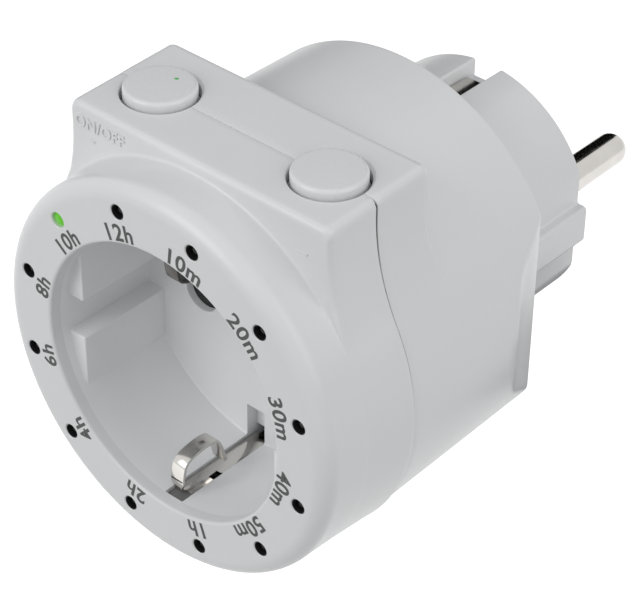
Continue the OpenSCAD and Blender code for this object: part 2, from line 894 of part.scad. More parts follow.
module fuse() {
    x = low_x + fuse_r;
    y = main_y + film_set_back;
    color("tan") union() {
        rod(x, main_under_z - fuse_gap - fuse_r, fuse_r, y, fuse_len);
        for (end = [0, 1]) block(
            [x - lead_w / 2, y + end * (fuse_len - lead_w), main_under_z - fuse_r],
            [x + lead_w / 2, y + end * (fuse_len - lead_w) + lead_w, main_under_z]
        );
    }
}

module rectifier() {
    color("black") block(
        [-low_x - bridge_w, main_y + film_set_back, main_under_z - bridge_t],
        [-low_x, main_y + film_set_back + bridge_len, main_under_z]
    );
}

module microcontroller() {
    y = main_y + film_set_back + bridge_len + low_gap;
    color("black") block([-low_x - chip_w, y, main_under_z - chip_t], [-low_x, y + chip_len, main_under_z]);
}

module button_board() {
    color("darkgreen") block(
        [-board_w / 2, board_y, board_z - board_t],
        [board_w / 2, board_y + board_len, board_z]
    );
}

module switch_body(side) {
    half = switch_w / 2;
    color("darkslategray")
    difference() {
        block(
            [side * button_x - half, part_y - half, board_z],
            [side * button_x + half, part_y + half, switch_z]
        );
        translate([side * button_x, part_y, switch_z - plunger_down - 2 * cap_travel])
            cylinder(h = switch_h, r = plunger_r + run_gap);
    }
}

module plunger(side) {
    color("black") translate([side * button_x, part_y, switch_z - plunger_down])
        cylinder(h = plunger_down + plunger_up - run_gap, r = plunger_r);
}

module cap_body() {
    color("whitesmoke") union() {
        translate([0, 0, flange_z + flange_t / 2])
            rotate_extrude() union() {
                polygon([
                    [0, 0], [cap_d / 2, 0], [cap_d / 2, cap_z - cap_edge_r - flange_z - flange_t / 2],
                    [cap_d / 2 - cap_edge_r, cap_z - flange_z - flange_t / 2],
                    [0, cap_z - flange_z - flange_t / 2]
                ]);
                translate([cap_d / 2 - cap_edge_r, cap_z - cap_edge_r - flange_z - flange_t / 2])
                    circle(r = cap_edge_r);
            }
        translate([0, 0, flange_z]) intersection() {
            cylinder(h = flange_t, r = flange_r);
            translate([-flange_side, -flange_r, 0]) cube([2 * flange_side, 2 * flange_r, flange_t]);
        }
        translate([0, 0, plunger_z]) cylinder(h = flange_z + flange_t / 2 - plunger_z, r = stem_r);
    }
}

module on_off_button() {
    color("whitesmoke") translate([-button_x, part_y, 0]) difference() {
        cap_body();
        translate([lens_x, lens_y, flange_z - overrun]) cylinder(h = cap_z, r = lens_d / 2 + run_gap);
    }
}

module timer_button() {
    translate([button_x, part_y, 0]) cap_body();
}

module status_lens() {
    color("limegreen") translate([lens_x - button_x, part_y + lens_y, flange_z])
        cylinder(h = cap_z - flange_z, r = lens_d / 2);
}

module status_led() {
    y = part_y + switch_w / 2 + seat_gap;
    x = lens_x - button_x;
    color("white") block(
        [x - status_led_w / 2, y, board_z],
        [x + status_led_w / 2, y + status_led_d, board_z + status_led_h]
    );
}

module ribbon_cable() {
    color("gray") union() {
        block(
            [ribbon_x, board_y + board_len - ribbon_lap, board_z],
            [ribbon_x + ribbon_w, ribbon_y + ribbon_t, board_z + ribbon_t]
        );
        block(
            [ribbon_x, ribbon_y, main_top_z],
            [ribbon_x + ribbon_w, ribbon_y + ribbon_t, board_z + ribbon_t]
        );
    }
}

module housing_screws() {
    color("silver") for (p = BOSSES) difference() {
        union() {
            rod(p[0], p[1], screw_r, seat_y - screw_len, screw_len + screw_head / 2);
            rod(p[0], p[1], screw_head_r, seat_y, screw_head);
        }
        for (turn = [0, 90]) translate([p[0], seat_y + screw_head - screw_slot, p[1]]) rotate([0, turn, 0])
            translate([-screw_head_r / 2, 0, -screw_slot_w / 2])
                cube([screw_head_r, screw_slot + overrun, screw_slot_w]);
    }
}

front_housing();
rear_housing();
socket_insert();
light_shield_ring();
led_ring_board();
for (i = [0:len(LED_NODES) - 1]) indicator_led(i);
led_connector();
shutter();
shutter_spring();
contact_carrier();
carrier_screws();
receptacle(-1);  // live_receptacle
receptacle(1);  // neutral_receptacle
earth_clip();  // earth_clip_upper
mirror([0, 0, 1]) earth_clip();  // earth_clip_lower
earth_bracket();
contact_pin(-1);  // live_pin
contact_pin(1);  // neutral_pin
pin_carrier();
busbar(-1);  // live_busbar
busbar(1);  // neutral_busbar
main_board();
relay();
film_capacitor();
electrolytic_capacitor();
varistor();
fuse();
rectifier();
microcontroller();
button_board();
switch_body(-1);  // switch_body_left
switch_body(1);  // switch_body_right
plunger(-1);  // plunger_left
plunger(1);  // plunger_right
on_off_button();
timer_button();
status_lens();
status_led();
ribbon_cable();
housing_screws();
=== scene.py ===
"""Looks of a plug-in timer switch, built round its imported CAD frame.

Lengths are millimetres until a piece is finished. A depth is measured from the front face toward
the wall; a place is [x, y, z] in the row frame, whose origin is the centre of the plug's end face.
"""

import logging
import math
from dataclasses import dataclass, field
from enum import Enum
from typing import Sequence

import bmesh
import bpy
from mathutils import Matrix, Vector


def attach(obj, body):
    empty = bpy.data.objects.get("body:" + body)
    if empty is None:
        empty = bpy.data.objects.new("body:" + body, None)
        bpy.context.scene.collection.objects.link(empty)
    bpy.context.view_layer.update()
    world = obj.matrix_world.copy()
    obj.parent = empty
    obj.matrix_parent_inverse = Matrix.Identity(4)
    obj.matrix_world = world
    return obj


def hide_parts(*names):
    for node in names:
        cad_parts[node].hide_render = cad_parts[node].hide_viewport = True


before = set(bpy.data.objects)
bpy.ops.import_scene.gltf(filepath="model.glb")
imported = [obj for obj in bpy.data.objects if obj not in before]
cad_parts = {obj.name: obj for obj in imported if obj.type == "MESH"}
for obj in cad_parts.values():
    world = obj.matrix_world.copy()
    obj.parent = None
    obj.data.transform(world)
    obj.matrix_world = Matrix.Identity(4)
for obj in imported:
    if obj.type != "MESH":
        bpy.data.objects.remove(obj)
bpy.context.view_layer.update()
LOG = logging.getLogger("timer_switch")
MM = 0.001
FACE_Y = -64.0
FULL_TURN = 360

# How far a cutter reaches past what it cuts
OVERRUN = 1.0

# The dial's marks, and where they are in degrees, clockwise from the top
MARKS = 12
FIRST_MARK = 15
MARK_STEP = 30

BMesh = bmesh.types.BMesh
Point = tuple[float, float]
Line = tuple[Point, ...]
Place = tuple[float, float, float]
Corners = tuple[Place, Place]
Colour = tuple[float, float, float, float]


class Body(Enum):
    """The CAD bodies that pieces ride on."""

    HOUSING = "housing"
    ON_OFF = "on_off_cap"
    TIMER = "timer_cap"
    SHUTTER = "contact_shutter"
    UPPER_CLIP = "upper_clip"
    LOWER_CLIP = "lower_clip"


class Slot(Enum):
    """The record's material slots."""

    SHELL = "white_shell"
    INSERT = "white_insert"
    DARK = "dark_plastic"
    BLACK = "black_plastic"
    GREY = "grey_plastic"
    PALE = "pale_plastic"
    YELLOW = "yellow_plastic"
    BLUE = "blue_plastic"
    BOARD = "board"
    GREEN_LIGHT = "green_light"
    CLEAR_LIGHT = "clear_light"
    BRASS = "brass"
    NICKEL = "nickel"
    STEEL = "steel"


# Shader building


class Signal:
    """A shader socket that takes part in Python maths."""

    def __init__(self, tree: "ShaderTree", socket: bpy.types.NodeSocket) -> None:
        """Wraps one output socket of a tree."""
        self.tree = tree
        self.socket = socket

    def _maths(self, operation: str, first: "Signal | float", second: "Signal | float") -> "Signal":
        """Adds one Math node.

        Args:
            operation: the Math node's operation.
            first: its first value.
            second: its second value.

        Returns:
            The node's result.
        """
        node = self.tree.node("ShaderNodeMath", {"operation": operation}, {0: first, 1: second})
        return Signal(self.tree, node.outputs[0])

    def __add__(self, other: "Signal | float") -> "Signal":
        """This value plus another."""
        return self._maths("ADD", self, other)

    __radd__ = __add__

    def __mul__(self, other: "Signal | float") -> "Signal":
        """This value times another."""
        return self._maths("MULTIPLY", self, other)

    __rmul__ = __mul__

    def __sub__(self, other: "Signal | float") -> "Signal":
        """This value less another."""
        return self._maths("SUBTRACT", self, other)

    def __rsub__(self, other: "Signal | float") -> "Signal":
        """Another value less this one."""
        return self._maths("SUBTRACT", other, self)

    def __gt__(self, other: "Signal | float") -> "Signal":
        """One where this value is above another, else zero."""
        return self._maths("GREATER_THAN", self, other)

    def at_least(self, other: "Signal | float") -> "Signal":
        """The greater of this value and another."""
        return self._maths("MAXIMUM", self, other)


class ShaderTree:
    """The node tree of one material or of the world."""

    def __init__(self, owner: bpy.types.Material | bpy.types.World) -> None:
        """Empties the owner's tree and keeps it."""
        owner.use_nodes = True
        self.tree = owner.node_tree
        self.tree.nodes.clear()

    def node(self, kind: str, settings: dict | None = None, inputs: dict | None = None) -> bpy.types.Node:
        """Adds a node.

        Args:
            kind: the node's type.
            settings: its properties, or "stops" for a ramp; they are set first.
            inputs: values or links by socket name or number.

        Returns:
            The new node.
        """
        made = self.tree.nodes.new(kind)
        for key, value in (settings or {}).items():
            if key == "stops":
                self._set_stops(made.color_ramp, value)
            else:
                setattr(made, key, value)
        for key, value in (inputs or {}).items():
            socket = made.inputs[key]
            source = value.socket if isinstance(value, Signal) else value
            if isinstance(source, bpy.types.NodeSocket):
                self.tree.links.new(source, socket)
            else:
                socket.default_value = source
        return made

    @staticmethod
    def _set_stops(ramp: bpy.types.ColorRamp, stops: Sequence[tuple[float, Sequence[float]]]) -> None:
        """Gives a ramp its stops, from left to right."""
        while len(ramp.elements) < len(stops):
            ramp.elements.new(1.0)
        for element, (place, colour) in zip(ramp.elements, stops):
            element.position = place
            element.color = colour

    def object_place(self) -> bpy.types.NodeSocket:
        """The Object coordinates."""
        return self.node("ShaderNodeTexCoord").outputs["Object"]

    def noise(self, size_mm: float, detail: float = 2.0, stretch: Place = (1.0, 1.0, 1.0)) -> Signal:
        """A noise whose lumps are about as large as asked.

        Args:
            size_mm: the size of a lump.
            detail: how much finer detail rides on it.
            stretch: a factor on each axis; above 1 makes lumps shorter there.

        Returns:
            The noise value, from 0 to 1.
        """
        place = self.node(
            "ShaderNodeMapping", {}, {"Vector": self.object_place(), "Scale": stretch}
        ).outputs[0]
        made = self.node(
            "ShaderNodeTexNoise", {}, {"Vector": place, "Scale": 1 / (size_mm * MM), "Detail": detail}
        )
        return Signal(self, made.outputs[0])

    def blend(self, factor: Signal, low: Sequence[float], high: Sequence[float]) -> bpy.types.NodeSocket:
        """A colour between two, by a factor.

        Args:
            factor: 0 for the low colour, 1 for the high one.
            low: a colour or a colour socket.
            high: a colour or a colour socket.

        Returns:
            The mixed colour.
        """
        made = self.node("ShaderNodeMix", {"data_type": "RGBA"}, {0: factor, 6: low, 7: high})
        return made.outputs[2]

    def bump(
            self, height: Signal, depth_mm: float, under: bpy.types.NodeSocket | None = None
    ) -> bpy.types.NodeSocket:
        """A bump as deep as asked.

        Args:
            height: the height, from 0 to 1.
            depth_mm: the depth that 1 stands for.
            under: a normal that this bump lies on.

        Returns:
            The bumped normal.
        """
        inputs = {"Height": height, "Distance": depth_mm * MM, "Strength": 1.0}
        if under is not None:
            inputs["Normal"] = under
        return self.node("ShaderNodeBump", {}, inputs).outputs[0]

    def output(self, shader: bpy.types.Node, kind: str = "ShaderNodeOutputMaterial") -> None:
        """Joins a shader to the output of a material or of the world."""
        self.node(kind, {}, {"Surface": shader.outputs[0]})

    def principled(self, inputs: dict) -> None:
        """Makes the whole surface one shader with these values and links."""
        self.output(self.node("ShaderNodeBsdfPrincipled", {}, inputs))

    def diffuse(self, level: float) -> bpy.types.Node:
        """A matt grey shader."""
        return self.node("ShaderNodeBsdfDiffuse", {}, {"Color": rgb(level)})

    def sees_white(self) -> Signal:
        """One for camera, glossy and clear rays, which get the white background, else zero."""
        light = self.node("ShaderNodeLightPath")
        camera, glossy, clear = (
            Signal(self, light.outputs[name])
            for name in ("Is Camera Ray", "Is Glossy Ray", "Is Transmission Ray")
        )
        return camera.at_least(glossy).at_least(clear)


def rgb(level: float, warm: float = 0.0) -> Colour:
    """A grey of a linear level, a little warm where asked."""
    return (level * (1 + warm), level, level * (1 - warm), 1.0)


def scaled(colour: Sequence[float], factor: float) -> Colour:
    """A colour made darker or lighter."""
    return (min(1.0, colour[0] * factor), min(1.0, colour[1] * factor), min(1.0, colour[2] * factor), 1.0)


@dataclass(frozen=True)
class Plastic:
    """A moulded plastic with fine spark-eroded grain, faint flow mottling and uneven gloss."""

    name: str
    slot: Slot
    colour: Colour
    roughness: float = 0.42
    mottle: float = 0.03
    mottle_mm: float = 14.0
    grain_mm: float = 0.22
    grain_depth: float = 0.004
    coat: float = 0.0
    dust_parts: float = 9.0
    dust_gloss: float = 0.06
    flow_gloss: float = 0.05

    def material(self) -> bpy.types.Material:
        """Builds the material."""
        made = bpy.data.materials.new(self.name)
        tree = ShaderTree(made)
        flow = tree.noise(self.mottle_mm, 3.0)
        grain = tree.noise(self.grain_mm, 2.0)
        dust = tree.noise(self.mottle_mm / self.dust_parts, 2.0)
        colour = tree.blend(flow, scaled(self.colour, 1 - self.mottle), scaled(self.colour, 1 + self.mottle))
        rough = (dust - 0.5) * self.dust_gloss + (flow - 0.5) * self.flow_gloss + self.roughness
        normal = tree.bump(grain, self.grain_depth, tree.bump(dust, self.grain_depth * 2))
        tree.principled({
            "Base Color": colour, "Roughness": rough, "Normal": normal, "IOR": 1.5,
            "Coat Weight": self.coat, "Coat Roughness": 0.12,
        })
        return made


@dataclass(frozen=True)
class Metal:
    """A stamped or turned metal with drawn lines along one axis and faint tarnish."""

    name: str
    slot: Slot
    colour: Colour
    roughness: float = 0.22
    tarnish: float = 0.18
    line_mm: float = 0.12
    line_depth: float = 0.0015
    lines_along: Place = (1.0, 0.04, 1.0)
    line_gloss: float = 0.16
    cloud_gloss: float = 0.12
    cloud_mm: float = 2.6

    def material(self) -> bpy.types.Material:
        """Builds the material."""
        made = bpy.data.materials.new(self.name)
        tree = ShaderTree(made)
        lines = tree.noise(self.line_mm, 2.0, self.lines_along)
        cloud = tree.noise(self.cloud_mm, 4.0)
        colour = tree.blend(cloud, scaled(self.colour, 1 - self.tarnish), self.colour)
        rough = (lines - 0.5) * self.line_gloss + (cloud - 0.5) * self.cloud_gloss + self.roughness
        tree.principled({
            "Base Color": colour, "Roughness": rough, "Metallic": 1.0,
            "Normal": tree.bump(lines, self.line_depth),
        })
        return made


@dataclass(frozen=True)
class Print:
    """Pad-printed ink, a little uneven where it lies on the grain."""

    name: str
    slot: Slot
    colour: Colour
    roughness: float = 0.55
    uneven: float = 0.1
    speck_mm: float = 0.18
    speck_depth: float = 0.003
    speck_range: Point = (0.85, 1.25)

    def material(self) -> bpy.types.Material:
        """Builds the material."""
        made = bpy.data.materials.new(self.name)
        tree = ShaderTree(made)
        speck = tree.noise(self.speck_mm, 3.0)
        colour = tree.blend(speck, *(scaled(self.colour, factor) for factor in self.speck_range))
        tree.principled({
            "Base Color": colour, "Roughness": (speck - 0.5) * self.uneven + self.roughness,
            "Normal": tree.bump(speck, self.speck_depth),
        })
        return made


@dataclass(frozen=True)
class Lens:
    """A light's lens: smoky when it is off, glowing when it is on."""

    name: str
    slot: Slot
    colour: Colour
    glow: float = 0.0
    glow_colour: Colour = (0.03, 1.0, 0.1, 1.0)
    shine: float = 0.5
    roughness: float = 0.16
    uneven: float = 0.1
    haze_mm: float = 0.5
    haze_depth: float = 0.002
    haze_range: Point = (0.8, 1.2)

    def material(self) -> bpy.types.Material:
        """Builds the material."""
        made = bpy.data.materials.new(self.name)
        tree = ShaderTree(made)
        haze = tree.noise(self.haze_mm, 2.0)
        colour = tree.blend(haze, *(scaled(self.colour, factor) for factor in self.haze_range))
        tree.principled({
            "Base Color": colour, "Roughness": (haze - 0.5) * self.uneven + self.roughness,
            "Specular IOR Level": self.shine, "Emission Strength": self.glow,
            "Emission Color": tree.blend(haze, scaled(self.glow_colour, 0.9), self.glow_colour),
            "Normal": tree.bump(haze, self.haze_depth),
        })
        return made


@dataclass(frozen=True)
class CircuitBoard:
    """A lacquered circuit board: solder mask with copper tracks and glass weave under it."""

    name: str
    slot: Slot
    mask: Colour = (0.02, 0.14, 0.05, 1.0)
    track: Colour = (0.07, 0.26, 0.1, 1.0)
    roughness: float = 0.32
    uneven: float = 0.1
    weave_mm: float = 0.5
    track_depth: float = 0.02
    lane_share: float = 0.62

    def material(self) -> bpy.types.Material:
        """Builds the material."""
        made = bpy.data.materials.new(self.name)
        tree = ShaderTree(made)
        weave = tree.noise(self.weave_mm, 0.0)
        lanes = tree.node("ShaderNodeTexWave", {"bands_direction": "X", "rings_direction": "X"}, {
            "Vector": tree.object_place(), "Scale": 60.0, "Distortion": 1.2, "Detail": 1.0,
        })
        on_track = Signal(tree, lanes.outputs[1]) > self.lane_share
        colour = tree.blend(weave * 0.3 + on_track * 0.7, self.mask, self.track)
        tree.principled({
            "Base Color": colour, "Roughness": (weave - 0.5) * self.uneven + self.roughness,
            "Coat Weight": 0.3, "Normal": tree.bump(weave * 0.4 + on_track * 0.6, self.track_depth),
        })
        return made


Finish = Plastic | Metal | Print | Lens | CircuitBoard

SHELL = Plastic("white_moulding", Slot.SHELL, rgb(0.75, -0.012), roughness=0.32)
KNOB = Plastic("white_cap", Slot.SHELL, rgb(0.76, -0.012), roughness=0.28, grain_depth=0.002)
# Painted lighter than the shell: painted light that brightens the shaded recess
INSERT = Plastic("white_insert", Slot.INSERT, rgb(0.83, -0.012), roughness=0.36)
DARK = Plastic("dark_moulding", Slot.DARK, rgb(0.03), roughness=0.5)
BLACK = Plastic("black_moulding", Slot.BLACK, rgb(0.012), roughness=0.45)
GREY = Plastic("grey_moulding", Slot.GREY, rgb(0.2, 0.01), roughness=0.4)
PALE = Plastic("pale_moulding", Slot.PALE, rgb(0.62, 0.05), roughness=0.45)
YELLOW = Plastic("yellow_case", Slot.YELLOW, (0.72, 0.46, 0.05, 1.0), roughness=0.35)
BLUE = Plastic("blue_case", Slot.BLUE, (0.04, 0.13, 0.42, 1.0), roughness=0.35)
BOARD = CircuitBoard("lacquered_board", Slot.BOARD)
INK = Print("grey_ink", Slot.DARK, rgb(0.045))
LIT = Lens(
    "lit_lens", Slot.GREEN_LIGHT, (0.04, 0.2, 0.02, 1.0),
    glow=0.36, glow_colour=(0.24, 1.0, 0.03, 1.0), shine=0.2
)
DOT = Lens("status_dot", Slot.GREEN_LIGHT, (0.1, 0.5, 0.15, 1.0), glow=0.06)
UNLIT = Lens("clear_lens", Slot.CLEAR_LIGHT, (0.004, 0.0045, 0.004, 1.0), shine=0.2)
BRASS = Metal("drawn_brass", Slot.BRASS, (0.72, 0.46, 0.16, 1.0))
NICKEL = Metal("nickel_pit_shade", Slot.NICKEL, (0.66, 0.64, 0.61, 1.0), roughness=0.16)
# The upper clip's nickel painted nearly black: painted shade and dark reflection on the same metal as the
# lower clip
NICKEL_PAINTED_SHADE = Metal("nickel_painted_shade", Slot.NICKEL, (0.08, 0.076, 0.07, 1.0), roughness=0.3)
STEEL = Metal("zinc_steel", Slot.STEEL, (0.5, 0.5, 0.5, 1.0), roughness=0.3)


class Paintbox:
    """Keeps one material for each finish."""

    made: dict[str, bpy.types.Material] = {}

    @classmethod
    def get(cls, finish: Finish) -> bpy.types.Material:
        """The finish's material, built when it is first asked for."""
        if finish.name not in cls.made:
            cls.made[finish.name] = finish.material()
        return cls.made[finish.name]


# Mesh helpers


def arc(centre: Point, radius: float, start: float, end: float, segments: int) -> list[Point]:
    """Points on an arc.

    Args:
        centre: its centre.
        radius: its radius.
        start: the first angle in degrees.
        end: the last angle in degrees.
        segments: how many steps it takes.

    Returns:
        The points, both ends included.
    """
    angles = [math.radians(start + (end - start) * i / segments) for i in range(segments + 1)]
    return [(centre[0] + radius * math.cos(a), centre[1] + radius * math.sin(a)) for a in angles]


def through(points: Sequence[Point], steps: int) -> list[Point]:
    """A smooth line through points.

    Args:
        points: the points it passes.
        steps: how many parts each span gets.

    Returns:
        The points of the smooth line.
    """
    ends = [points[0], *points, points[-1]]
    line = []
    for a, b, c, d in zip(ends, ends[1:], ends[2:], ends[3:]):
        for i in range(steps):
            t = i / steps
            line.append(tuple(
                0.5 * (2 * b[k] + (c[k] - a[k]) * t + (2 * a[k] - 5 * b[k] + 4 * c[k] - d[k]) * t * t
                       + (3 * b[k] - a[k] - 3 * c[k] + d[k]) * t ** 3) for k in (0, 1)))
    return [*line, points[-1]]


def chain(bm: BMesh, places: Sequence[Place], closed: bool = False) -> list:
    """Adds a line of vertices joined by edges.

    Args:
        bm: the mesh it goes in.
        places: where the vertices are.
        closed: whether the last is joined to the first.

    Returns:
        The vertices and edges.
    """
    verts = [bm.verts.new(p) for p in places]
    pairs = list(zip(verts, verts[1:])) + ([(verts[-1], verts[0])] if closed else [])
    return verts + [bm.edges.new(pair) for pair in pairs]


def tidy(bm: BMesh, reach: float = 1e-4) -> BMesh:
    """Merges doubled vertices and turns all faces outward."""
    bmesh.ops.remove_doubles(bm, verts=bm.verts, dist=reach)
    bmesh.ops.recalc_face_normals(bm, faces=bm.faces)
    return bm


def turned(
        profile: Sequence[Point], centre: Place, axis: str = "Y", steps: int = 64, closed: bool = False
) -> BMesh:
    """Spins a profile about an axis.

    Args:
        profile: [radius, place along the axis] points.
        centre: a point that the axis passes, from which places along it count.
        axis: Y or Z.
        steps: how many steps go round.
        closed: whether the profile is a loop.

    Returns:
        The turned mesh.
    """
    bm = bmesh.new()
    along = Vector((0, 1, 0)) if axis == "Y" else Vector((0, 0, 1))
    base = Vector(centre)
    geom = chain(bm, [base + Vector((max(r, 0.0), 0, 0)) + along * d for r, d in profile], closed)
    bmesh.ops.spin(bm, geom=geom, cent=base, axis=along, angle=math.tau, steps=steps, use_merge=True)
    return tidy(bm)


def prism(
        outline: Sequence[Point], low: float, high: float, edge: float = 0.0, rounds: int = 3
) -> BMesh:
    """Stretches an [x, z] outline along Y and rounds the edge of its far end.

    Args:
        outline: the outline's points.
        low: where it starts.
        high: where it ends, with the rounded edge.
        edge: the radius of that edge.
        rounds: how many steps the edge takes.

    Returns:
        The prism.
    """
    bm = bmesh.new()
    verts = [bm.verts.new((x, low, z)) for x, z in outline]
    face = bm.faces.new(verts)
    sign = 1 if high > low else -1
    grown = bmesh.ops.extrude_face_region(bm, geom=[face])["geom"]
    bmesh.ops.translate(
        bm, verts=[v for v in grown if isinstance(v, bmesh.types.BMVert)],
        vec=(0, high - low - sign * edge, 0)
    )
    end = next(f for f in grown if isinstance(f, bmesh.types.BMFace))
    bmesh.ops.recalc_face_normals(bm, faces=bm.faces)
    for i in range(rounds if edge > 0 else 0):
        a, b = math.radians(90 * i / rounds), math.radians(90 * (i + 1) / rounds)
        bmesh.ops.inset_region(bm, faces=[end], thickness=edge * (math.cos(a) - math.cos(b)),
                               depth=edge * (math.sin(b) - math.sin(a)), use_even_offset=True)
    return tidy(bm)


def bevelled(bm: BMesh, edges: Sequence[bmesh.types.BMEdge], radius: float, segments: int) -> BMesh:
    """Rounds edges of a mesh in so many steps."""
    bmesh.ops.bevel(
        bm, geom=edges, offset=radius, segments=segments, affect="EDGES", profile=0.5, material=-1
    )
    return bm


def brick(low: Place, high: Place, edge: float = 0.0, segments: int = 2) -> BMesh:
    """A block between two corners with rounded edges.

    Args:
        low: its lowest corner.
        high: its highest corner.
        edge: the radius of its edges.
        segments: how many steps an edge takes.

    Returns:
        The block.
    """
    bm = bmesh.new()
    bmesh.ops.create_cube(bm, size=1.0)
    size = Vector(high) - Vector(low)
    bmesh.ops.scale(bm, vec=size, verts=bm.verts)
    bmesh.ops.translate(bm, vec=Vector(low) + size / 2, verts=bm.verts)
    return bevelled(bm, bm.edges[:], edge, segments) if edge > 0 else bm


def placed(bm: BMesh, name: str) -> bpy.types.Object:
    """Puts a mesh, which is freed, into the scene as an object."""
    mesh = bpy.data.meshes.new(name)
    bm.to_mesh(mesh)
    bm.free()
    made = bpy.data.objects.new(name, mesh)
    bpy.context.scene.collection.objects.link(made)
    return made


def joined(parts: Sequence[BMesh]) -> BMesh:
    """One mesh of several, which are freed."""
    whole = bmesh.new()
    for part in parts:
        mesh = bpy.data.meshes.new("part")
        part.to_mesh(mesh)
        part.free()
        whole.from_mesh(mesh)
        bpy.data.meshes.remove(mesh)
    return whole


def moved(bm: BMesh, matrix: Matrix) -> BMesh:
    """The same mesh, transformed, with its faces outward."""
    bmesh.ops.transform(bm, matrix=matrix, verts=bm.verts)
    if matrix.determinant() < 0:
        bmesh.ops.reverse_faces(bm, faces=bm.faces)
    return bm


def cut(base: BMesh, tool: BMesh) -> BMesh:
    """Cuts closed solids out of another, which no single mesh operator does.

    Args:
        base: the solid that is cut.
        tool: the solids that cut it, which mustn't overlap each other.

    Returns:
        What is left of the solid.
    """
    objects = [placed(base, "base"), placed(tool, "tool")]
    worked = objects[0].modifiers.new("work", "BOOLEAN")
    worked.operation, worked.solver, worked.object = "DIFFERENCE", "EXACT", objects[1]
    bpy.context.view_layer.update()
    result = bpy.data.meshes.new_from_object(objects[0].evaluated_get(bpy.context.evaluated_depsgraph_get()))
    out = bmesh.new()
    out.from_mesh(result)
    for made in objects:
        mesh = made.data
        bpy.data.objects.remove(made)
        bpy.data.meshes.remove(mesh)
    bpy.data.meshes.remove(result)
    return out


def finished(
        bm: BMesh, name: str, body: Body, finish: Finish, replaces: Sequence[str] = (),
        sharp: float = 28.0
) -> bpy.types.Object:
    """Makes a piece of a mesh in millimetres.

    Args:
        bm: the mesh, which is freed.
        name: the piece's name.
        body: the CAD body it rides on.
        finish: its finish.
        replaces: the CAD nodes it stands for.
        sharp: edges bent by more than this many degrees stay sharp.

    Returns:
        The piece.
    """
    piece = placed(bm, name)
    mesh = piece.data
    mesh.transform(Matrix.Scale(MM, 4))
    mesh.shade_smooth()
    mesh.set_sharp_from_angle(angle=math.radians(sharp))
    mesh.materials.append(Paintbox.get(finish))
    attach(piece, body.value)
    if replaces:
        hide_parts(*replaces)
    LOG.info("%s: %d faces on %s", name, len(mesh.polygons), body.value)
    return piece


def dressed(nodes: Sequence[str], finish: Finish) -> None:
    """Gives CAD nodes that keep their shape a finish."""
    for name in nodes:
        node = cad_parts[name]
        node.data.materials.clear()
        node.data.materials.append(Paintbox.get(finish))
        LOG.info("%s: dressed as %s", name, finish.name)


# Housing


@dataclass
class BlockOutline:
    """The outline of the barrel and the button block, seen along the plug axis."""

    half_width: float = 21.3
    corner_r: float = 1.2
    flank_r: float = 30.0

    def radius(self, phi: float, barrel: float, top: float) -> float:
        """The distance from the plug axis to the outline.

        Args:
            phi: the direction, from +X toward +Z, in radians.
            barrel: the barrel's radius.
            top: the height of the block's top.

        Returns:
            The distance in millimetres.
        """
        turn = math.atan2(math.sin(phi), abs(math.cos(phi)))
        side = self.half_width + self.flank_r
        hub = math.sqrt((barrel + self.flank_r) ** 2 - side ** 2)
        if turn <= math.atan2(hub, side):
            return barrel
        if turn <= math.atan2(hub, self.half_width):
            return self._crossing(turn, (side, hub), self.flank_r, -1)
        corner = (self.half_width - self.corner_r, top - self.corner_r)
        if turn <= math.atan2(corner[1], self.half_width):
            return self.half_width / math.cos(turn)
        if turn < math.atan2(top, corner[0]):
            return self._crossing(turn, corner, self.corner_r, 1)
        return top / math.sin(turn)

    @staticmethod
    def _crossing(turn: float, centre: Point, radius: float, sign: int) -> float:
        """Where a ray from the axis crosses a circle: its near side for -1, its far side for 1."""
        middle = centre[0] * math.cos(turn) + centre[1] * math.sin(turn)
        inside = middle ** 2 - centre[0] ** 2 - centre[1] ** 2 + radius ** 2
        return middle + sign * math.sqrt(max(inside, 0.0))


def spread(stops: Line) -> list[float]:
    """Angles in degrees round a full turn, whose spacing changes.

    Args:
        stops: [start, spacing] of each stretch.

    Returns:
        The angles, without the full turn's.
    """
    angles = []
    for (start, spacing), (stop, _) in zip(stops, [*stops[1:], (FULL_TURN, 0.0)]):
        count = max(1, round((stop - start) / spacing))
        angles += [start + (stop - start) * i / count for i in range(count)]
    return angles


# Where the directions of a section start to be finer or coarser: finest round the block's corners
BLOCK_STOPS: Line = ((0, 1.5), (24, 1.0), (50, 0.3), (58, 1.5), (122, 0.3), (130, 1.0), (156, 1.5))


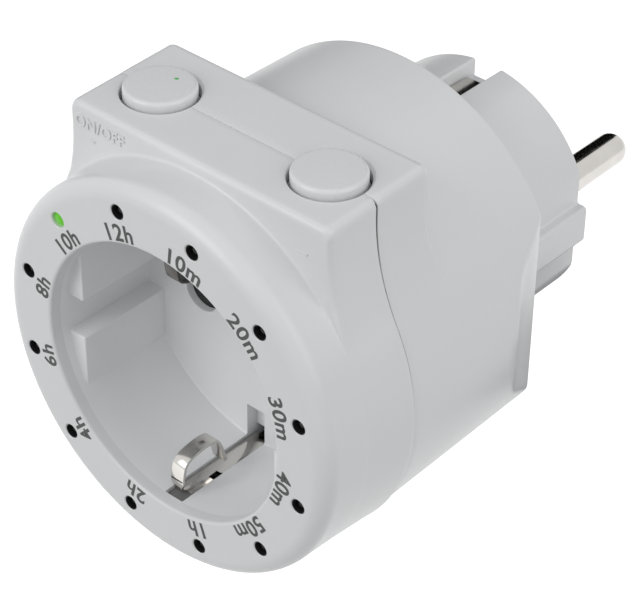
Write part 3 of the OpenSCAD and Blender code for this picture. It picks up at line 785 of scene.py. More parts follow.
@dataclass
class Shell:
    """A half of the housing: a section that changes as it is spun about the plug axis."""

    stops: Line = BLOCK_STOPS
    outline: BlockOutline = field(default_factory=BlockOutline)
    block_depth: float = 7.0
    block_end: float = 25.0
    part_depth: float = 15.5
    top_front: float = 29.55
    top_back: float = 29.98
    wall: float = 2.0
    sliver: float = 0.012
    seam_half: float = 0.15
    seam_top_half: float = 0.03
    seam_deep: float = 1.7
    seam_top_turn: float = 54.2
    lip: Line = ((0, 0.12), (0.03, 0.03), (0.1, 0.0))
    inner_step: float = 0.1
    foot_share: float = 0.25
    edge_share: float = 0.6
    flat_shares: Point = (0.1, 0.9)

    def seam(self, phi: float) -> float:
        """Half of the width of the parting gap, which is narrow on the block's top."""
        turn = math.degrees(math.atan2(math.sin(phi), abs(math.cos(phi))))
        share = min(1.0, max(0.0, turn - self.seam_top_turn))
        return self.seam_half + (self.seam_top_half - self.seam_half) * share

    def seam_lip(self, phi: float, sign: int) -> list[Point]:
        """The rounded lip and the depth of the parting gap on one half, from the outside inward."""
        out, side = self.reach(phi, self.part_depth), self.part_depth + sign * self.seam(phi)
        rows = [(out - s, side + sign * d) for s, d in (*self.lip, (self.seam_deep, 0.0))]
        return [*rows, (out - self.seam_deep, self.part_depth)]

    def top(self, depth: float) -> float:
        """The height of the block's top at a depth."""
        return self.top_front + (self.top_back - self.top_front) * (depth - self.block_depth) / (
            self.block_end - self.block_depth
        )

    def barrel(self, depth: float) -> float:
        """The barrel's radius at a depth."""
        raise NotImplementedError

    def reach(self, phi: float, depth: float) -> float:
        """The distance from the plug axis to the outside at a depth, with the block."""
        return self.outline.radius(phi, self.barrel(depth), self.top(depth))

    def section(self, phi: float) -> list[Point]:
        """The closed [radius, depth] section in a direction."""
        raise NotImplementedError

    def block_step(self, phi: float, depth: float, fillet: float, edge: float) -> tuple[float, ...]:
        """The step from the barrel up to the block's outside.

        Args:
            phi: the direction in radians.
            depth: where the block's front or back face is.
            fillet: the radius at its foot.
            edge: the radius of its edge.

        Returns:
            The radius of its foot and of its top, and the two radii where the step has room for them.
        """
        low, high = self.barrel(depth), self.reach(phi, depth)
        step = high - low
        return low, high, min(fillet, step * self.foot_share), min(edge, step * self.edge_share)

    def slivers(self, rows: Sequence[Point]) -> list[Point]:
        """The same points, each a sliver deeper, so that they stay apart where there is no block."""
        return [(r, d + self.sliver * i) for i, (r, d) in enumerate(rows)]

    def spun(self) -> BMesh:
        """Spins the section and gives each direction its own form."""
        angles = spread(self.stops)
        bm = bmesh.new()
        rows = bm.verts.layers.int.new("row")
        start = self.section(0.0)
        geom = chain(bm, [(r, FACE_Y + d, 0) for r, d in start], closed=True)
        for i, vert in enumerate(geom[:len(start)]):
            vert[rows] = i
        bmesh.ops.spin(
            bm, geom=geom, cent=(0, 0, 0), axis=(0, 1, 0), angle=math.tau, steps=len(angles), use_merge=True
        )
        sections = [(math.radians(a), self.section(math.radians(a))) for a in angles]
        for vert in bm.verts:
            turn = math.atan2(vert.co.z, vert.co.x) / math.tau * len(angles)
            phi, section = sections[round(turn) % len(angles)]
            r, depth = section[vert[rows]]
            vert.co = (r * math.cos(phi), FACE_Y + depth, r * math.sin(phi))
        bm.verts.layers.int.remove(rows)
        bmesh.ops.recalc_face_normals(bm, faces=bm.faces)
        return bm


@dataclass
class FrontShell(Shell):
    """The front half: mouth, face ring with its indicator holes, and the block's front."""

    mouth_r: float = 19.5
    mouth_edge: float = 0.4
    face_depth: float = 0.02
    face_wall: float = 1.8
    face_r: float = 27.7
    face_edge: float = 2.3
    part_r: float = 28.4
    light_circle_r: float = 23.9
    light_hole_r: float = 1.05
    foot_fillet: float = 0.35
    block_edge: float = 0.85
    mouth_flat: float = 0.15
    face_flat: float = 0.2
    inner_edge: float = 0.4
    inner_depth: float = 4.0
    barrel_depths: tuple[float, ...] = (2.7, 3.6, 4.6, 5.6, 6.4)
    block_depths: tuple[float, ...] = (8.4, 9.6, 11.2, 13, 14.6)
    hole_chamfer: float = 0.12
    hole_deep: float = 3.0
    barrel_power: float = 1.5

    def barrel(self, depth: float) -> float:
        """The barrel's radius, a little hollow between the face and the parting line."""
        share = max(0.0, (depth - self.face_edge) / (self.part_depth - self.face_edge))
        return self.face_r + (self.part_r - self.face_r) * share ** self.barrel_power

    def section(self, phi: float) -> list[Point]:
        """The closed [radius, depth] section in a direction."""
        f = self.face_depth
        rows = [(self.mouth_r, self.face_wall), (self.mouth_r, self.face_wall / 2)]
        rows += arc((self.mouth_r + self.mouth_edge, f + self.mouth_edge), self.mouth_edge, 180, 270, 4)
        rows += [
            (self.mouth_r + self.mouth_edge + self.mouth_flat, f),
            (self.face_r - self.face_edge - self.face_flat, f),
        ]
        rows += arc((self.face_r - self.face_edge, f + self.face_edge), self.face_edge, -90, 0, 10)
        rows += [(self.barrel(d), d) for d in self.barrel_depths]
        rows += self._block_front(phi)
        rows += [(self.reach(phi, d), d) for d in self.block_depths]
        rows += self.seam_lip(phi, -1)
        inner = self.block_depth + self.face_wall
        rows += [(self.reach(phi, d) - self.wall, d) for d in (self.part_depth, inner + self.inner_step)]
        return rows + [
            (self.barrel(inner) - self.wall, inner), (self.face_r - self.wall, self.inner_depth),
            (self.face_r - self.face_edge - self.inner_edge, self.face_wall),
        ]

    def _block_front(self, phi: float) -> list[Point]:
        """The foot fillet, front face and rounded edge of the block."""
        depth = self.block_depth
        low, high, foot, edge = self.block_step(phi, depth, self.foot_fillet, self.block_edge)
        rows = arc((low + foot, depth - foot), foot, 180, 90, 4)
        rows += [(low + foot + (high - low - foot - edge) * s, depth) for s in self.flat_shares]
        rows += arc((high - edge, depth + edge), edge, -90, 0, 7)
        return self.slivers(rows)

    def build(self) -> BMesh:
        """Builds the shell with its holes."""
        r, face, deep = self.light_hole_r, self.face_depth, self.hole_deep
        mouth = r + self.hole_chamfer
        profile = [
            (0, -OVERRUN), (mouth, -OVERRUN), (mouth, face), (r, face + self.hole_chamfer), (r, deep),
            (0, deep)
        ]
        holes = [turned(profile, on_dial(i, self.light_circle_r), steps=32) for i in range(MARKS)]
        return cut(cut(self.spun(), joined(holes)), button_holes())


@dataclass
class RearShell(Shell):
    """The rear half: the block's back, the tapering barrel with its two grip scoops, and the rim."""

    stops: Line = (
        (0, 0.55), (33, 1.5), (50, 0.4), (58, 1.5), (122, 0.4), (130, 1.5), (147, 0.55), (213, 1.5),
        (327, 0.55)
    )
    part_r: float = 28.1
    rim_r: float = 27.7
    end_depth: float = 45.0
    rim: Line = ((0, 0.22), (0.04, 0.09), (0.13, 0.02), (0.26, 0), (0.5, 0))
    scoop: Line = (
        (27.9, 36.4), (27.75, 36.6), (27.4, 37.0), (26.8, 37.8), (26.1, 38.9), (25.6, 40.2), (25.2, 41.5),
        (24.7, 43.0), (23.9, 45.0)
    )
    crease: float = 0.12
    back_edge: float = 1.0
    foot_fillet: float = 0.5
    rear_wall: float = 2.2
    collar_in_r: float = 15.8
    screw_circle_r: float = 24.3
    screw_pocket_r: float = 2.2
    screw_boss_r: float = 3.0
    screw_seat_depth: float = 20.0
    screw_boss_low: float = 2.0
    pocket_chamfer: float = 0.25
    pocket_deep: float = 3.0
    top_lift: float = 0.05
    crease_reach: float = 4.0
    crease_limit: float = 60.0
    scoop_step: float = 0.28
    scoop_rows: int = 30
    block_depths: tuple[float, ...] = (17, 19, 21, 22.6, 23.6)
    barrel_depths: tuple[float, ...] = (26.6, 29, 32, 34.5, 36.2)
    inner_depths: tuple[float, ...] = (40, 37)

    def __post_init__(self) -> None:
        """Works out the smooth line of a scoop."""
        self.scoop_line = through(self.scoop, 8)

    def barrel(self, depth: float) -> float:
        """The barrel's radius, which tapers to the rim."""
        share = (depth - self.part_depth) / (self.end_depth - self.part_depth)
        return self.part_r + (self.rim_r - self.part_r) * share

    def top(self, depth: float) -> float:
        """The height of the block's top, a hair above the front half's."""
        return super().top(depth) + self.top_lift

    def hollow(self, phi: float, depth: float) -> float:
        """The barrel's radius where the scoops hollow it.

        Args:
            phi: the direction in radians.
            depth: the depth behind the face.

        Returns:
            The radius, with a soft crease where a scoop ends.
        """
        plain = self.barrel(depth)
        if depth <= self.scoop[0][1]:
            return plain
        flat = self.scoop_line[-1][0]
        for (xa, da), (xb, db) in zip(self.scoop_line, self.scoop_line[1:]):
            if da <= depth <= db:
                flat = xa + (xb - xa) * (depth - da) / (db - da)
                break
        flat_r = flat / max(abs(math.cos(phi)), 1e-3)
        if flat_r - plain > self.crease_reach * self.crease:
            return plain
        gap = (plain - flat_r) / self.crease
        return plain - self.crease * math.log(1 + math.exp(min(gap, self.crease_limit)))

    def section(self, phi: float) -> list[Point]:
        """The closed [radius, depth] section in a direction."""
        start, end = self.part_depth, self.end_depth
        rows = list(reversed(self.seam_lip(phi, 1)))
        rows += [(self.reach(phi, d), d) for d in self.block_depths]
        rows += self._block_back(phi)
        rows += [(self.barrel(d), d) for d in self.barrel_depths]
        first = self.scoop[0][1]
        scoop_depths = [first + self.scoop_step * i for i in range(1, self.scoop_rows)]
        rows += [(self.hollow(phi, d), d) for d in scoop_depths]
        rows += [(self.hollow(phi, end) - s, end - d) for s, d in self.rim]
        inner = end - self.rear_wall
        rows += [(self.collar_in_r, end), (self.collar_in_r, inner)]
        rows += [(self.hollow(phi, d) - self.wall, d) for d in (inner, *self.inner_depths)]
        back = self.block_end - self.rear_wall
        return rows + [
            (self.barrel(back) - self.wall, back + self.inner_step),
            (self.reach(phi, back) - self.wall, back), (self.reach(phi, start) - self.wall, start),
        ]

    def _block_back(self, phi: float) -> list[Point]:
        """The rounded edge, back face and foot fillet of the block."""
        depth = self.block_end
        low, high, foot, edge = self.block_step(phi, depth, self.foot_fillet, self.back_edge)
        rows = arc((high - edge, depth - edge), edge, 0, 90, 7)
        rows += [(low + foot + (high - low - foot - edge) * s, depth) for s in reversed(self.flat_shares)]
        rows += arc((low + foot, depth + foot), foot, 270, 180, 5)
        return self.slivers(rows)

    def build(self) -> BMesh:
        """Builds the shell with its button holes and screw pockets."""
        shell = cut(self.spun(), button_holes())
        r, deep, low = self.screw_pocket_r, self.pocket_deep, self.screw_boss_low
        mouth, seat = r + self.pocket_chamfer, self.end_depth - self.screw_seat_depth
        pocket = [
            (0, OVERRUN), (mouth, OVERRUN), (mouth, 0), (r, -self.pocket_chamfer), (r, -deep), (0, -deep)
        ]
        boss = [(r, -seat), (self.screw_boss_r, -seat), (self.screw_boss_r, -low), (r, -low)]
        places = [(x, FACE_Y + self.end_depth, z) for x, z in diagonals(self.screw_circle_r)]
        pockets = [turned(pocket, place, steps=32) for place in places]
        bosses = [turned(boss, place, steps=32, closed=True) for place in places]
        return joined([cut(shell, joined(pockets)), *bosses])


@dataclass
class PartingShadow(RearShell):
    """A dark strip at the bottom of the gap between the two shells."""

    stops: Line = BLOCK_STOPS
    sunk: float = 0.22
    top_sunk: float = 0.9
    deep: float = 1.0
    play: float = 0.005

    def section(self, phi: float) -> list[Point]:
        """The closed [radius, depth] section in a direction."""
        half = self.seam(phi) - self.play
        on_top = (self.seam_half - self.seam(phi)) / (self.seam_half - self.seam_top_half)
        out = self.reach(phi, self.part_depth) - self.sunk - self.top_sunk * on_top
        low, high = self.part_depth - half, self.part_depth + half
        return [(out, low), (out, high), (out - self.deep, high), (out - self.deep, low)]

    def build(self) -> BMesh:
        """Builds the strip, which stops at the button holes."""
        return cut(self.spun(), button_holes())


def mark_turn(number: int, by: float = 0.0) -> float:
    """The direction of a mark on the dial, clockwise from the top, in radians."""
    return math.radians(FIRST_MARK + MARK_STEP * number + by)


def on_dial(number: int, radius: float) -> Place:
    """The place of a mark on the dial."""
    turn = mark_turn(number)
    return (radius * math.sin(turn), FACE_Y, radius * math.cos(turn))


def diagonals(radius: float) -> list[Point]:
    """Four [x, z] places on the diagonals at one distance from the plug axis."""
    reach = radius * math.sqrt(0.5)
    return [(sx * reach, sz * reach) for sx in (-1, 1) for sz in (-1, 1)]


@dataclass
class ButtonSizes:
    """Where the two buttons are and how large."""

    pitch_half: float = 13.9
    depth: float = 15.5
    hole_r: float = 5.15
    hole_edge: float = 0.22
    cap_r: float = 4.725
    cap_top: float = 30.9
    cap_edge: float = 0.5
    crown: float = 0.1
    flange_z: float = 27.0
    lens_r: float = 0.26
    lens_at: Point = (0.7, 2.2)
    hole_low: float = 22.0
    hole_top: float = 29.77
    flange_r: float = 5.1
    flange_t: float = 0.9
    side_step: float = 0.3
    crown_radii: tuple[float, ...] = (4.0, 3.4, 2.6, 1.6, 0.7, 0.0)
    lens_gap: float = 0.04
    lens_hole: Point = (29.0, 32.0)
    lens: Line = ((0, 28.0), (1, 28.0), (1, 30.78), (0.7, 30.84), (0, 30.86))


BUTTONS = ButtonSizes()


def button_holes() -> BMesh:
    """The cutters of the two button holes, with a chamfered mouth."""
    b = BUTTONS
    top, mouth = b.hole_top, b.hole_r + b.hole_edge
    profile = [
        (0, b.hole_low), (b.hole_r, b.hole_low), (b.hole_r, top - b.hole_edge), (mouth, top),
        (mouth + OVERRUN, top + OVERRUN), (0, top + OVERRUN)
    ]
    places = [(x, FACE_Y + b.depth, 0) for x in (-b.pitch_half, b.pitch_half)]
    return joined([turned(profile, place, "Z", 72) for place in places])


@dataclass
class Collar:
    """The plug collar behind the rear wall: flats, side ribs and earth grooves."""

    radius: float = 18.08
    flat_x: float = 16.5
    rib_half: float = 2.8
    rib_x: float = 18.08
    groove_half: float = 2.1
    groove_z: float = 15.3
    length: float = 19.0
    edge: float = 0.3
    pin_x: float = 9.5
    pin_hole_r: float = 2.46
    rib_round: float = 0.6
    rib_foot: float = 0.35
    flat_end: float = 0.4
    lip: float = 0.4
    round_start: float = 1.0
    groove_clear: float = 0.8
    sunk: float = 0.3
    hole_chamfer: float = 0.2
    hole_deep: float = 1.2

    def outline(self) -> list[Point]:
        """The outline of one quarter, mirrored round the axis, with rounded corners."""
        flat_z = math.sqrt(self.radius ** 2 - self.flat_x ** 2)
        rib, foot, lip = self.rib_round, self.rib_foot, self.lip
        quarter = [(self.rib_x, 0.0)]
        quarter += arc((self.rib_x - rib, self.rib_half - rib), rib, 0, 90, 8)
        quarter += arc((self.flat_x + foot, self.rib_half + foot), foot, 270, 180, 3)
        quarter += [(self.flat_x, flat_z - self.flat_end)]
        start = math.degrees(math.atan2(flat_z, self.flat_x)) + self.round_start
        end = math.degrees(math.acos((self.groove_half + self.groove_clear) / self.radius))
        quarter += arc((0, 0), self.radius, start, end, 28)
        lip_x = self.groove_half + lip
        quarter += arc((lip_x, math.sqrt(self.radius ** 2 - lip_x ** 2) - lip), lip, 90, 180, 4)
        quarter += [(self.groove_half, self.groove_z)]
        upper = quarter + [(-x, z) for x, z in reversed(quarter)]
        return upper + [(x, -z) for x, z in reversed(upper[1:-1])]

    def build(self) -> BMesh:
        """Builds the collar with the holes round its pins."""
        body = prism(self.outline(), -self.length - self.sunk, 0.0, self.edge)
        r, deep = self.pin_hole_r, self.hole_deep
        mouth = r + self.hole_chamfer
        profile = [
            (0, OVERRUN), (mouth, OVERRUN), (mouth, 0), (r, -self.hole_chamfer), (r, -deep), (0, -deep)
        ]
        holes = [turned(profile, (x, 0, 0), steps=40) for x in (-self.pin_x, self.pin_x)]
        return cut(body, joined(holes))


@dataclass
class Housing:
    """The two shells and the plug collar."""

    front: FrontShell = field(default_factory=FrontShell)
    rear: RearShell = field(default_factory=RearShell)
    collar: Collar = field(default_factory=Collar)

    def build(self) -> None:
        """Builds and dresses the housing."""
        finished(self.front.build(), "front_shell", Body.HOUSING, SHELL, ["front_housing"])
        finished(self.rear.build(), "rear_shell", Body.HOUSING, SHELL, ["rear_housing"])
        finished(PartingShadow().build(), "parting_shadow", Body.HOUSING, DARK)
        finished(self.collar.build(), "plug_collar", Body.HOUSING, SHELL, ["rear_housing"], sharp=16)
        dressed(["housing_screws"], STEEL)


# Lettering


@dataclass
class Lettering:
    """Plain marks: the hours and minutes on the face, and the words on the block."""

    cap_height: float = 2.35
    squeeze: float = 1.06
    spacing: float = 1.08
    bold: float = 0.024
    label_r: float = 21.1
    face_depth: float = 0.004
    turn_by: float = -1.2
    longest_edge: float = 0.4
    labels: tuple[str, ...] = ("10m", "20m", "30m", "40m", "50m", "1h", "2h", "4h", "6h", "8h", "10h", "12h")
    word: str = "ON/OFF"
    word_height: float = 1.7
    word_squeeze: float = 0.98
    word_rise: float = 0.12
    word_place: Place = (-16.0, FACE_Y + 7.0, 27.2)
    dashes: tuple[Corners, ...] = (
        ((16.5, FACE_Y + 6.9, 24.75), (18.1, FACE_Y + 7.2, 25.05)),
        ((-17.6, FACE_Y + 6.9, 24.75), (-17.0, FACE_Y + 7.2, 25.05)),
    )
    dash_edge: float = 0.05

    def flat_text(self, text: str, cap_height: float, squeeze: float, thickness: float = 0.0) -> BMesh:
        """A word as a mesh, centred on its own middle, in the XY plane.

        Args:
            text: the word.
            cap_height: the height of a capital or digit.
            squeeze: a factor on its width.
            thickness: half of its extrusion.

        Returns:
            The word's mesh.
        """
        curve = bpy.data.curves.new("word", "FONT")
        curve.body = text
        curve.resolution_u = 6
        curve.space_character = self.spacing
        curve.offset = self.bold
        curve.extrude = thickness
        holder = bpy.data.objects.new("word", curve)
        bpy.context.scene.collection.objects.link(holder)
        bpy.context.view_layer.update()
        mesh = bpy.data.meshes.new_from_object(holder.evaluated_get(bpy.context.evaluated_depsgraph_get()))
        bm = bmesh.new()
        bm.from_mesh(mesh)
        bpy.data.objects.remove(holder)
        bpy.data.curves.remove(curve)
        bpy.data.meshes.remove(mesh)
        bmesh.ops.remove_doubles(bm, verts=bm.verts, dist=1e-5)
        xs = [v.co.x for v in bm.verts]
        ys = [v.co.y for v in bm.verts]
        size = cap_height / (max(ys) - min(ys))
        bmesh.ops.translate(bm, vec=(-(max(xs) + min(xs)) / 2, -(max(ys) + min(ys)) / 2, 0), verts=bm.verts)
        bmesh.ops.scale(bm, vec=(size * squeeze, size, 1), verts=bm.verts)
        return bm

    def dial(self) -> BMesh:
        """The labels on the face, bent round the plug axis with their tops outward."""
        words = []
        for i, label in enumerate(self.labels):
            word = self.flat_text(label, self.cap_height, self.squeeze)
            long = [e for e in word.edges if e.calc_length() > self.longest_edge]
            bmesh.ops.subdivide_edges(word, edges=long, cuts=2)
            bmesh.ops.triangulate(word, faces=word.faces)
            middle = mark_turn(i, self.turn_by)
            for vert in word.verts:
                turn = middle + vert.co.x / self.label_r
                r = self.label_r + vert.co.y
                vert.co = (r * math.sin(turn), FACE_Y + self.face_depth, r * math.cos(turn))
            words.append(word)
        return joined(words)

    def embossed(self) -> BMesh:
        """The raised words and dashes on the block's front face."""
        word = self.flat_text(self.word, self.word_height, self.word_squeeze, self.word_rise)
        upright = Matrix.Rotation(math.radians(90), 4, "X")
        dashes = [brick(low, high, self.dash_edge) for low, high in self.dashes]
        return joined([moved(word, Matrix.Translation(self.word_place) @ upright), *dashes])

    def build(self) -> None:
        """Builds and dresses the lettering."""
        dial = finished(self.dial(), "dial_marks", Body.HOUSING, INK)
        normals_out = sum(p.normal.y for p in dial.data.polygons)
        if normals_out > 0:
            dial.data.flip_normals()
        finished(self.embossed(), "switch_marks", Body.HOUSING, SHELL)


# Buttons


@dataclass
class Button:
    """A push cap in a round hole, with a status dot where it has one."""

    name: str
    node: str
    body: Body
    x: float
    has_dot: bool

    def build(self) -> None:
        """Builds and dresses the cap."""
        b = BUTTONS
        place = (self.x, FACE_Y + b.depth, 0.0)
        side = b.cap_top - b.crown
        rim_r, flange_top = b.cap_r - b.cap_edge, b.flange_z + b.flange_t
        profile = [
            (0, b.flange_z), (b.flange_r, b.flange_z), (b.flange_r, flange_top), (b.cap_r, flange_top),
            (b.cap_r, side - b.cap_edge - b.side_step)
        ]
        profile += arc((rim_r, side - b.cap_edge), b.cap_edge, 0, 84, 7)
        profile += [(r, b.cap_top - b.crown * (r / rim_r) ** 2) for r in b.crown_radii]
        cap = turned(profile, place, "Z", 96)
        if self.has_dot:
            dot = (self.x + b.lens_at[0], place[1] + b.lens_at[1], 0)
            hole_r, (low, high) = b.lens_r + b.lens_gap, b.lens_hole
            cap = cut(cap, turned([(0, low), (hole_r, low), (hole_r, high), (0, high)], dot, "Z", 24))
            lens = turned([(b.lens_r * share, z) for share, z in b.lens], dot, "Z", 24)
            finished(lens, "status_dot", self.body, DOT, ["status_lens"])
        finished(cap, self.name, self.body, KNOB, [self.node])


# Socket


@dataclass
class Socket:
    """The recess insert: tube, floor, guide blocks, contact holes and slots for the earth clips."""

    radius: float = 19.5
    outer_r: float = 21.0
    start_depth: float = 1.8
    floor_depth: float = 17.5
    floor_back: float = 20.0
    end_depth: float = 22.45
    corner: float = 0.3
    hole_x: float = 9.5
    hole_r: float = 2.8
    hole_edge: float = 0.16
    guide_x: float = 16.45
    guide_z: float = 2.9
    guide_depth: float = 3.0
    # gap_off, gap_depth and gap_t place the black discs of painted shade in the shutter's gaps
    gap_off: float = 1.2
    gap_depth: float = 18.6
    slot_half: float = 1.55
    slot_low: float = 18.6
    floor_slot_low: float = 14.3
    slot_end: float = 19.4
    slot_step: float = 0.1
    floor_rings: Point = (4.0, 17.0)
    wall_ring: float = 10.0
    mouth: Line = ((1, 0), (0.5, 0.1), (0.15, 0.45), (0, 1))
    hole_deep: float = 4.0
    guide_edge: float = 0.25
    guide_bury: float = 0.3
    guide_sunk: float = 0.4
    gap_t: float = 0.03

    def slots(self, depths: Point, reach: Point) -> BMesh:
        """Cutters of the slots for the upper and the lower clip.

        Args:
            depths: where they start and end, from the front face.
            reach: their nearest and furthest place from the plug axis.

        Returns:
            The two cutters.
        """
        made = []
        for sign in (-1, 1):
            low, high = sorted(sign * z for z in reach)
            made.append(
                brick((-self.slot_half, FACE_Y + depths[0], low), (self.slot_half, FACE_Y + depths[1], high))
            )
        return joined(made)

    def shell(self) -> BMesh:
        """The tube and floor, with the holes and slots cut."""
        profile = [(r, self.floor_depth) for r in (0, *self.floor_rings)]
        profile += arc((self.radius - self.corner, self.floor_depth - self.corner), self.corner, 90, 0, 4)
        profile += [
            (self.radius, self.wall_ring), (self.radius, self.start_depth),
            (self.outer_r, self.start_depth), (self.outer_r, self.end_depth)
        ]
        profile += [(self.radius, self.end_depth), (self.radius, self.floor_back), (0, self.floor_back)]
        body = turned(profile, (0, FACE_Y, 0), steps=180)
        r, edge, deep = self.hole_r, self.hole_edge, self.hole_deep
        outside = [(0, -2 * OVERRUN), (r + edge, -2 * OVERRUN)]
        hole = outside + [(r + out * edge, into * edge) for out, into in self.mouth] + [(r, deep), (0, deep)]
        places = [(x, FACE_Y + self.floor_depth, 0) for x in (-self.hole_x, self.hole_x)]
        wall_slots = self.slots(
            (self.start_depth + self.slot_step, self.end_depth + OVERRUN),
            (self.slot_low, self.outer_r + OVERRUN)
        )
        floor_slots = self.slots(
            (self.floor_depth - OVERRUN, self.slot_end),
            (self.floor_slot_low, self.slot_low + self.slot_step)
        )
        tools = [*(turned(hole, place, steps=64) for place in places), wall_slots]
        return cut(cut(body, joined(tools)), floor_slots)

    def guides(self) -> list[BMesh]:
        """The four blocks that guide a plug."""
        outer, edge = self.radius + self.guide_bury, self.guide_edge
        end = math.degrees(math.acos(self.guide_x / outer))
        start = math.degrees(math.asin(self.guide_z / outer))
        outline = arc((self.guide_x + edge, self.guide_z + edge), edge, 180, 270, 3)
        outline += arc((0, 0), outer, start, end, 10)
        made = []
        for sx, sz in ((-1, -1), (-1, 1), (1, -1), (1, 1)):
            low, high = FACE_Y + self.floor_depth + self.guide_sunk, FACE_Y + self.guide_depth
            made.append(moved(prism(outline, low, high, edge), Matrix.Diagonal((sx, 1, sz, 1))))
        return made

    def gap_shade(self) -> BMesh:
        """Black discs of painted shade in the gaps beside the shutter's vanes, which turn with it."""
        made = []
        for sign in (-1, 1):
            place = (sign * (self.hole_x + self.gap_off), FACE_Y + self.gap_depth, sign * self.gap_off)
            disc = [(0, 0), (self.hole_r, 0), (self.hole_r, self.gap_t), (0, self.gap_t)]
            made.append(turned(disc, place, steps=48))
        return joined(made)

    def build(self) -> None:
        """Builds and dresses the recess."""
        recess = joined([self.shell(), *self.guides()])
        # The insert's finish is painted lighter than the shell, as light in the shaded recess
        finished(recess, "socket_recess", Body.HOUSING, INSERT, ["socket_insert"])
        # Black discs of painted shade in the gaps beside the shutter's vanes, riding on the shutter
        finished(self.gap_shade(), "shutter_gap_shade", Body.SHUTTER, BLACK)


@dataclass
class EarthClip:
    """A sprung nickel strip whose hump stands into the recess."""

    name: str
    node: str
    body: Body
    side: int
    finish: Metal = NICKEL
    width: float = 2.2
    thickness: float = 0.5
    base_width: float = 2.75
    base: tuple[Point, Point] = ((4.2, -20.12), (18.9, -19.8))
    base_edge: float = 0.12
    notch: Corners = ((0.35, 8.0, -21.0), (2.0, 9.6, -19.0))
    # A black brick of painted shade where a dark slit shows in the hump's front
    cleft_shade: Corners = ((-0.98, 2.56, -17.15), (0.98, 3.3, -16.95))
    neck: Point = (-17.6, -19.4)
    # A grey plate of painted shade on the dim floor of the slot's pit, riding with the clip
    pit_shade: Corners = ((-1.45, 2.05, -20.12), (1.45, 4.6, -19.98))
    tip_share: float = 0.35
    tongue_depth: float = 6.0
    rim_edge: float = 0.1
    rim_turn: float = 50.0
    line: Line = (
        (5.5, -19.95), (4.2, -19.9), (3.1, -19.4), (2.6, -18.3), (2.65, -16.4), (3.1, -14.7),
        (4.3, -13.86), (6.2, -13.5), (8.4, -13.55), (9.4, -14.1), (10.2, -15.8), (10.9, -18.2)
    )

    def hump(self) -> BMesh:
        """The bent strip, which narrows to a tongue where it meets the base."""
        bm = bmesh.new()
        chain(bm, [(-self.width / 2, FACE_Y + d, z) for d, z in through(self.line, 6)])
        ribbon = bmesh.ops.extrude_edge_only(bm, edges=bm.edges[:])["geom"]
        far_side = [v for v in ribbon if isinstance(v, bmesh.types.BMVert)]
        bmesh.ops.translate(bm, vec=(self.width, 0, 0), verts=far_side)
        for vert in bm.verts:
            share = min(1.0, max(0.0, (self.neck[0] - vert.co.z) / (self.neck[0] - self.neck[1])))
            if vert.co.y < FACE_Y + self.tongue_depth:
                vert.co.x *= 1 + (self.tip_share - 1) * share
        bmesh.ops.solidify(bm, geom=bm.faces[:], thickness=self.thickness)
        tidy(bm)
        least = math.radians(self.rim_turn)
        rims = [e for e in bm.edges if e.is_manifold and e.calc_face_angle(0.0) > least]
        return bevelled(bm, rims, self.rim_edge, 2)

    @staticmethod
    def block(corners: Corners, edge: float = 0.0) -> BMesh:
        """A brick between two [x, depth, z] corners."""
        (x0, d0, z0), (x1, d1, z1) = corners
        return brick((x0, FACE_Y + d0, z0), (x1, FACE_Y + d1, z1), edge)

    def build(self) -> None:
        """Builds and dresses the strip and its base, with a black brick of painted shade in the strip's
        front and a grey plate of painted shade in the slot's pit.
        """
        (d0, z0), (d1, z1) = self.base
        half = self.base_width / 2
        bar = self.block(((-half, d0, z0), (half, d1, z1)), self.base_edge)
        strip = joined([self.hump(), cut(bar, self.block(self.notch))])
        cleft_shade = self.block(self.cleft_shade)
        pit_shade = self.block(self.pit_shade)
        if self.side > 0:
            for bm in (strip, cleft_shade, pit_shade):
                moved(bm, Matrix.Diagonal((1, 1, -1, 1)))
        finished(strip, self.name, self.body, self.finish, [self.node], sharp=40)
        # Painted shade: a black brick in the hump's front and a grey plate in the slot's pit
        finished(cleft_shade, self.name + "_cleft_shade", self.body, BLACK)
        finished(pit_shade, self.name + "_pit_shade", self.body, GREY)


# Lights


@dataclass
class Lights:
    """The twelve indicators behind the face."""

    circle_r: float = 23.9
    lens_r: float = 0.95
    lit_r: float = 1.03
    lit_tip_depth: float = 0.15
    hole_r: float = 1.04
    # Where the black tubes of painted shade on the light holes' white walls start
    hole_shade_depth: float = 0.16
    tip_depth: float = 0.55
    base_depth: float = 4.7
    base_r: float = 1.3
    base_t: float = 0.9
    dome: float = 0.7
    dome_turns: tuple[float, ...] = (0.3, 0.6, 0.9, 1.2, math.pi / 2)
    nodes: tuple[str, ...] = (
        "led_10min", "led_20min", "led_30min", "led_40min", "led_50min", "led_1h", "led_2h", "led_4h",
        "led_6h", "led_8h", "led_10h", "led_12h"
    )
    lit: str = "led_10h"

    def build(self) -> None:
        """Builds and dresses the lenses, and black tubes of painted shade round the unlit ones."""
        hole_shades = []
        low, dome = self.base_depth, self.dome
        for i, node in enumerate(self.nodes):
            place = on_dial(i, self.circle_r)
            is_lit = node == self.lit
            r, tip = (self.lit_r, self.lit_tip_depth) if is_lit else (self.lens_r, self.tip_depth)
            lens = [(0, low + self.base_t), (self.base_r, low + self.base_t), (self.base_r, low), (r, low)]
            lens += [(r, tip + dome)]
            lens += [(r * math.cos(a), tip + dome - dome * math.sin(a)) for a in self.dome_turns]
            name, finish = node.replace("led", "light"), LIT if is_lit else UNLIT
            # A black tube covers the white wall of each unlit light's hole: painted shade
            if not is_lit:
                high = self.hole_shade_depth
                hole_shade = [(self.hole_r, high), (self.hole_r, low), (r, low), (r, high)]
                hole_shades.append(turned(hole_shade, place, steps=32, closed=True))
            finished(turned(lens, place, steps=28), name, Body.HOUSING, finish, [node])
        # The black tubes of painted shade in the light holes
        finished(joined(hole_shades), "light_hole_shade", Body.HOUSING, BLACK)


# Plug


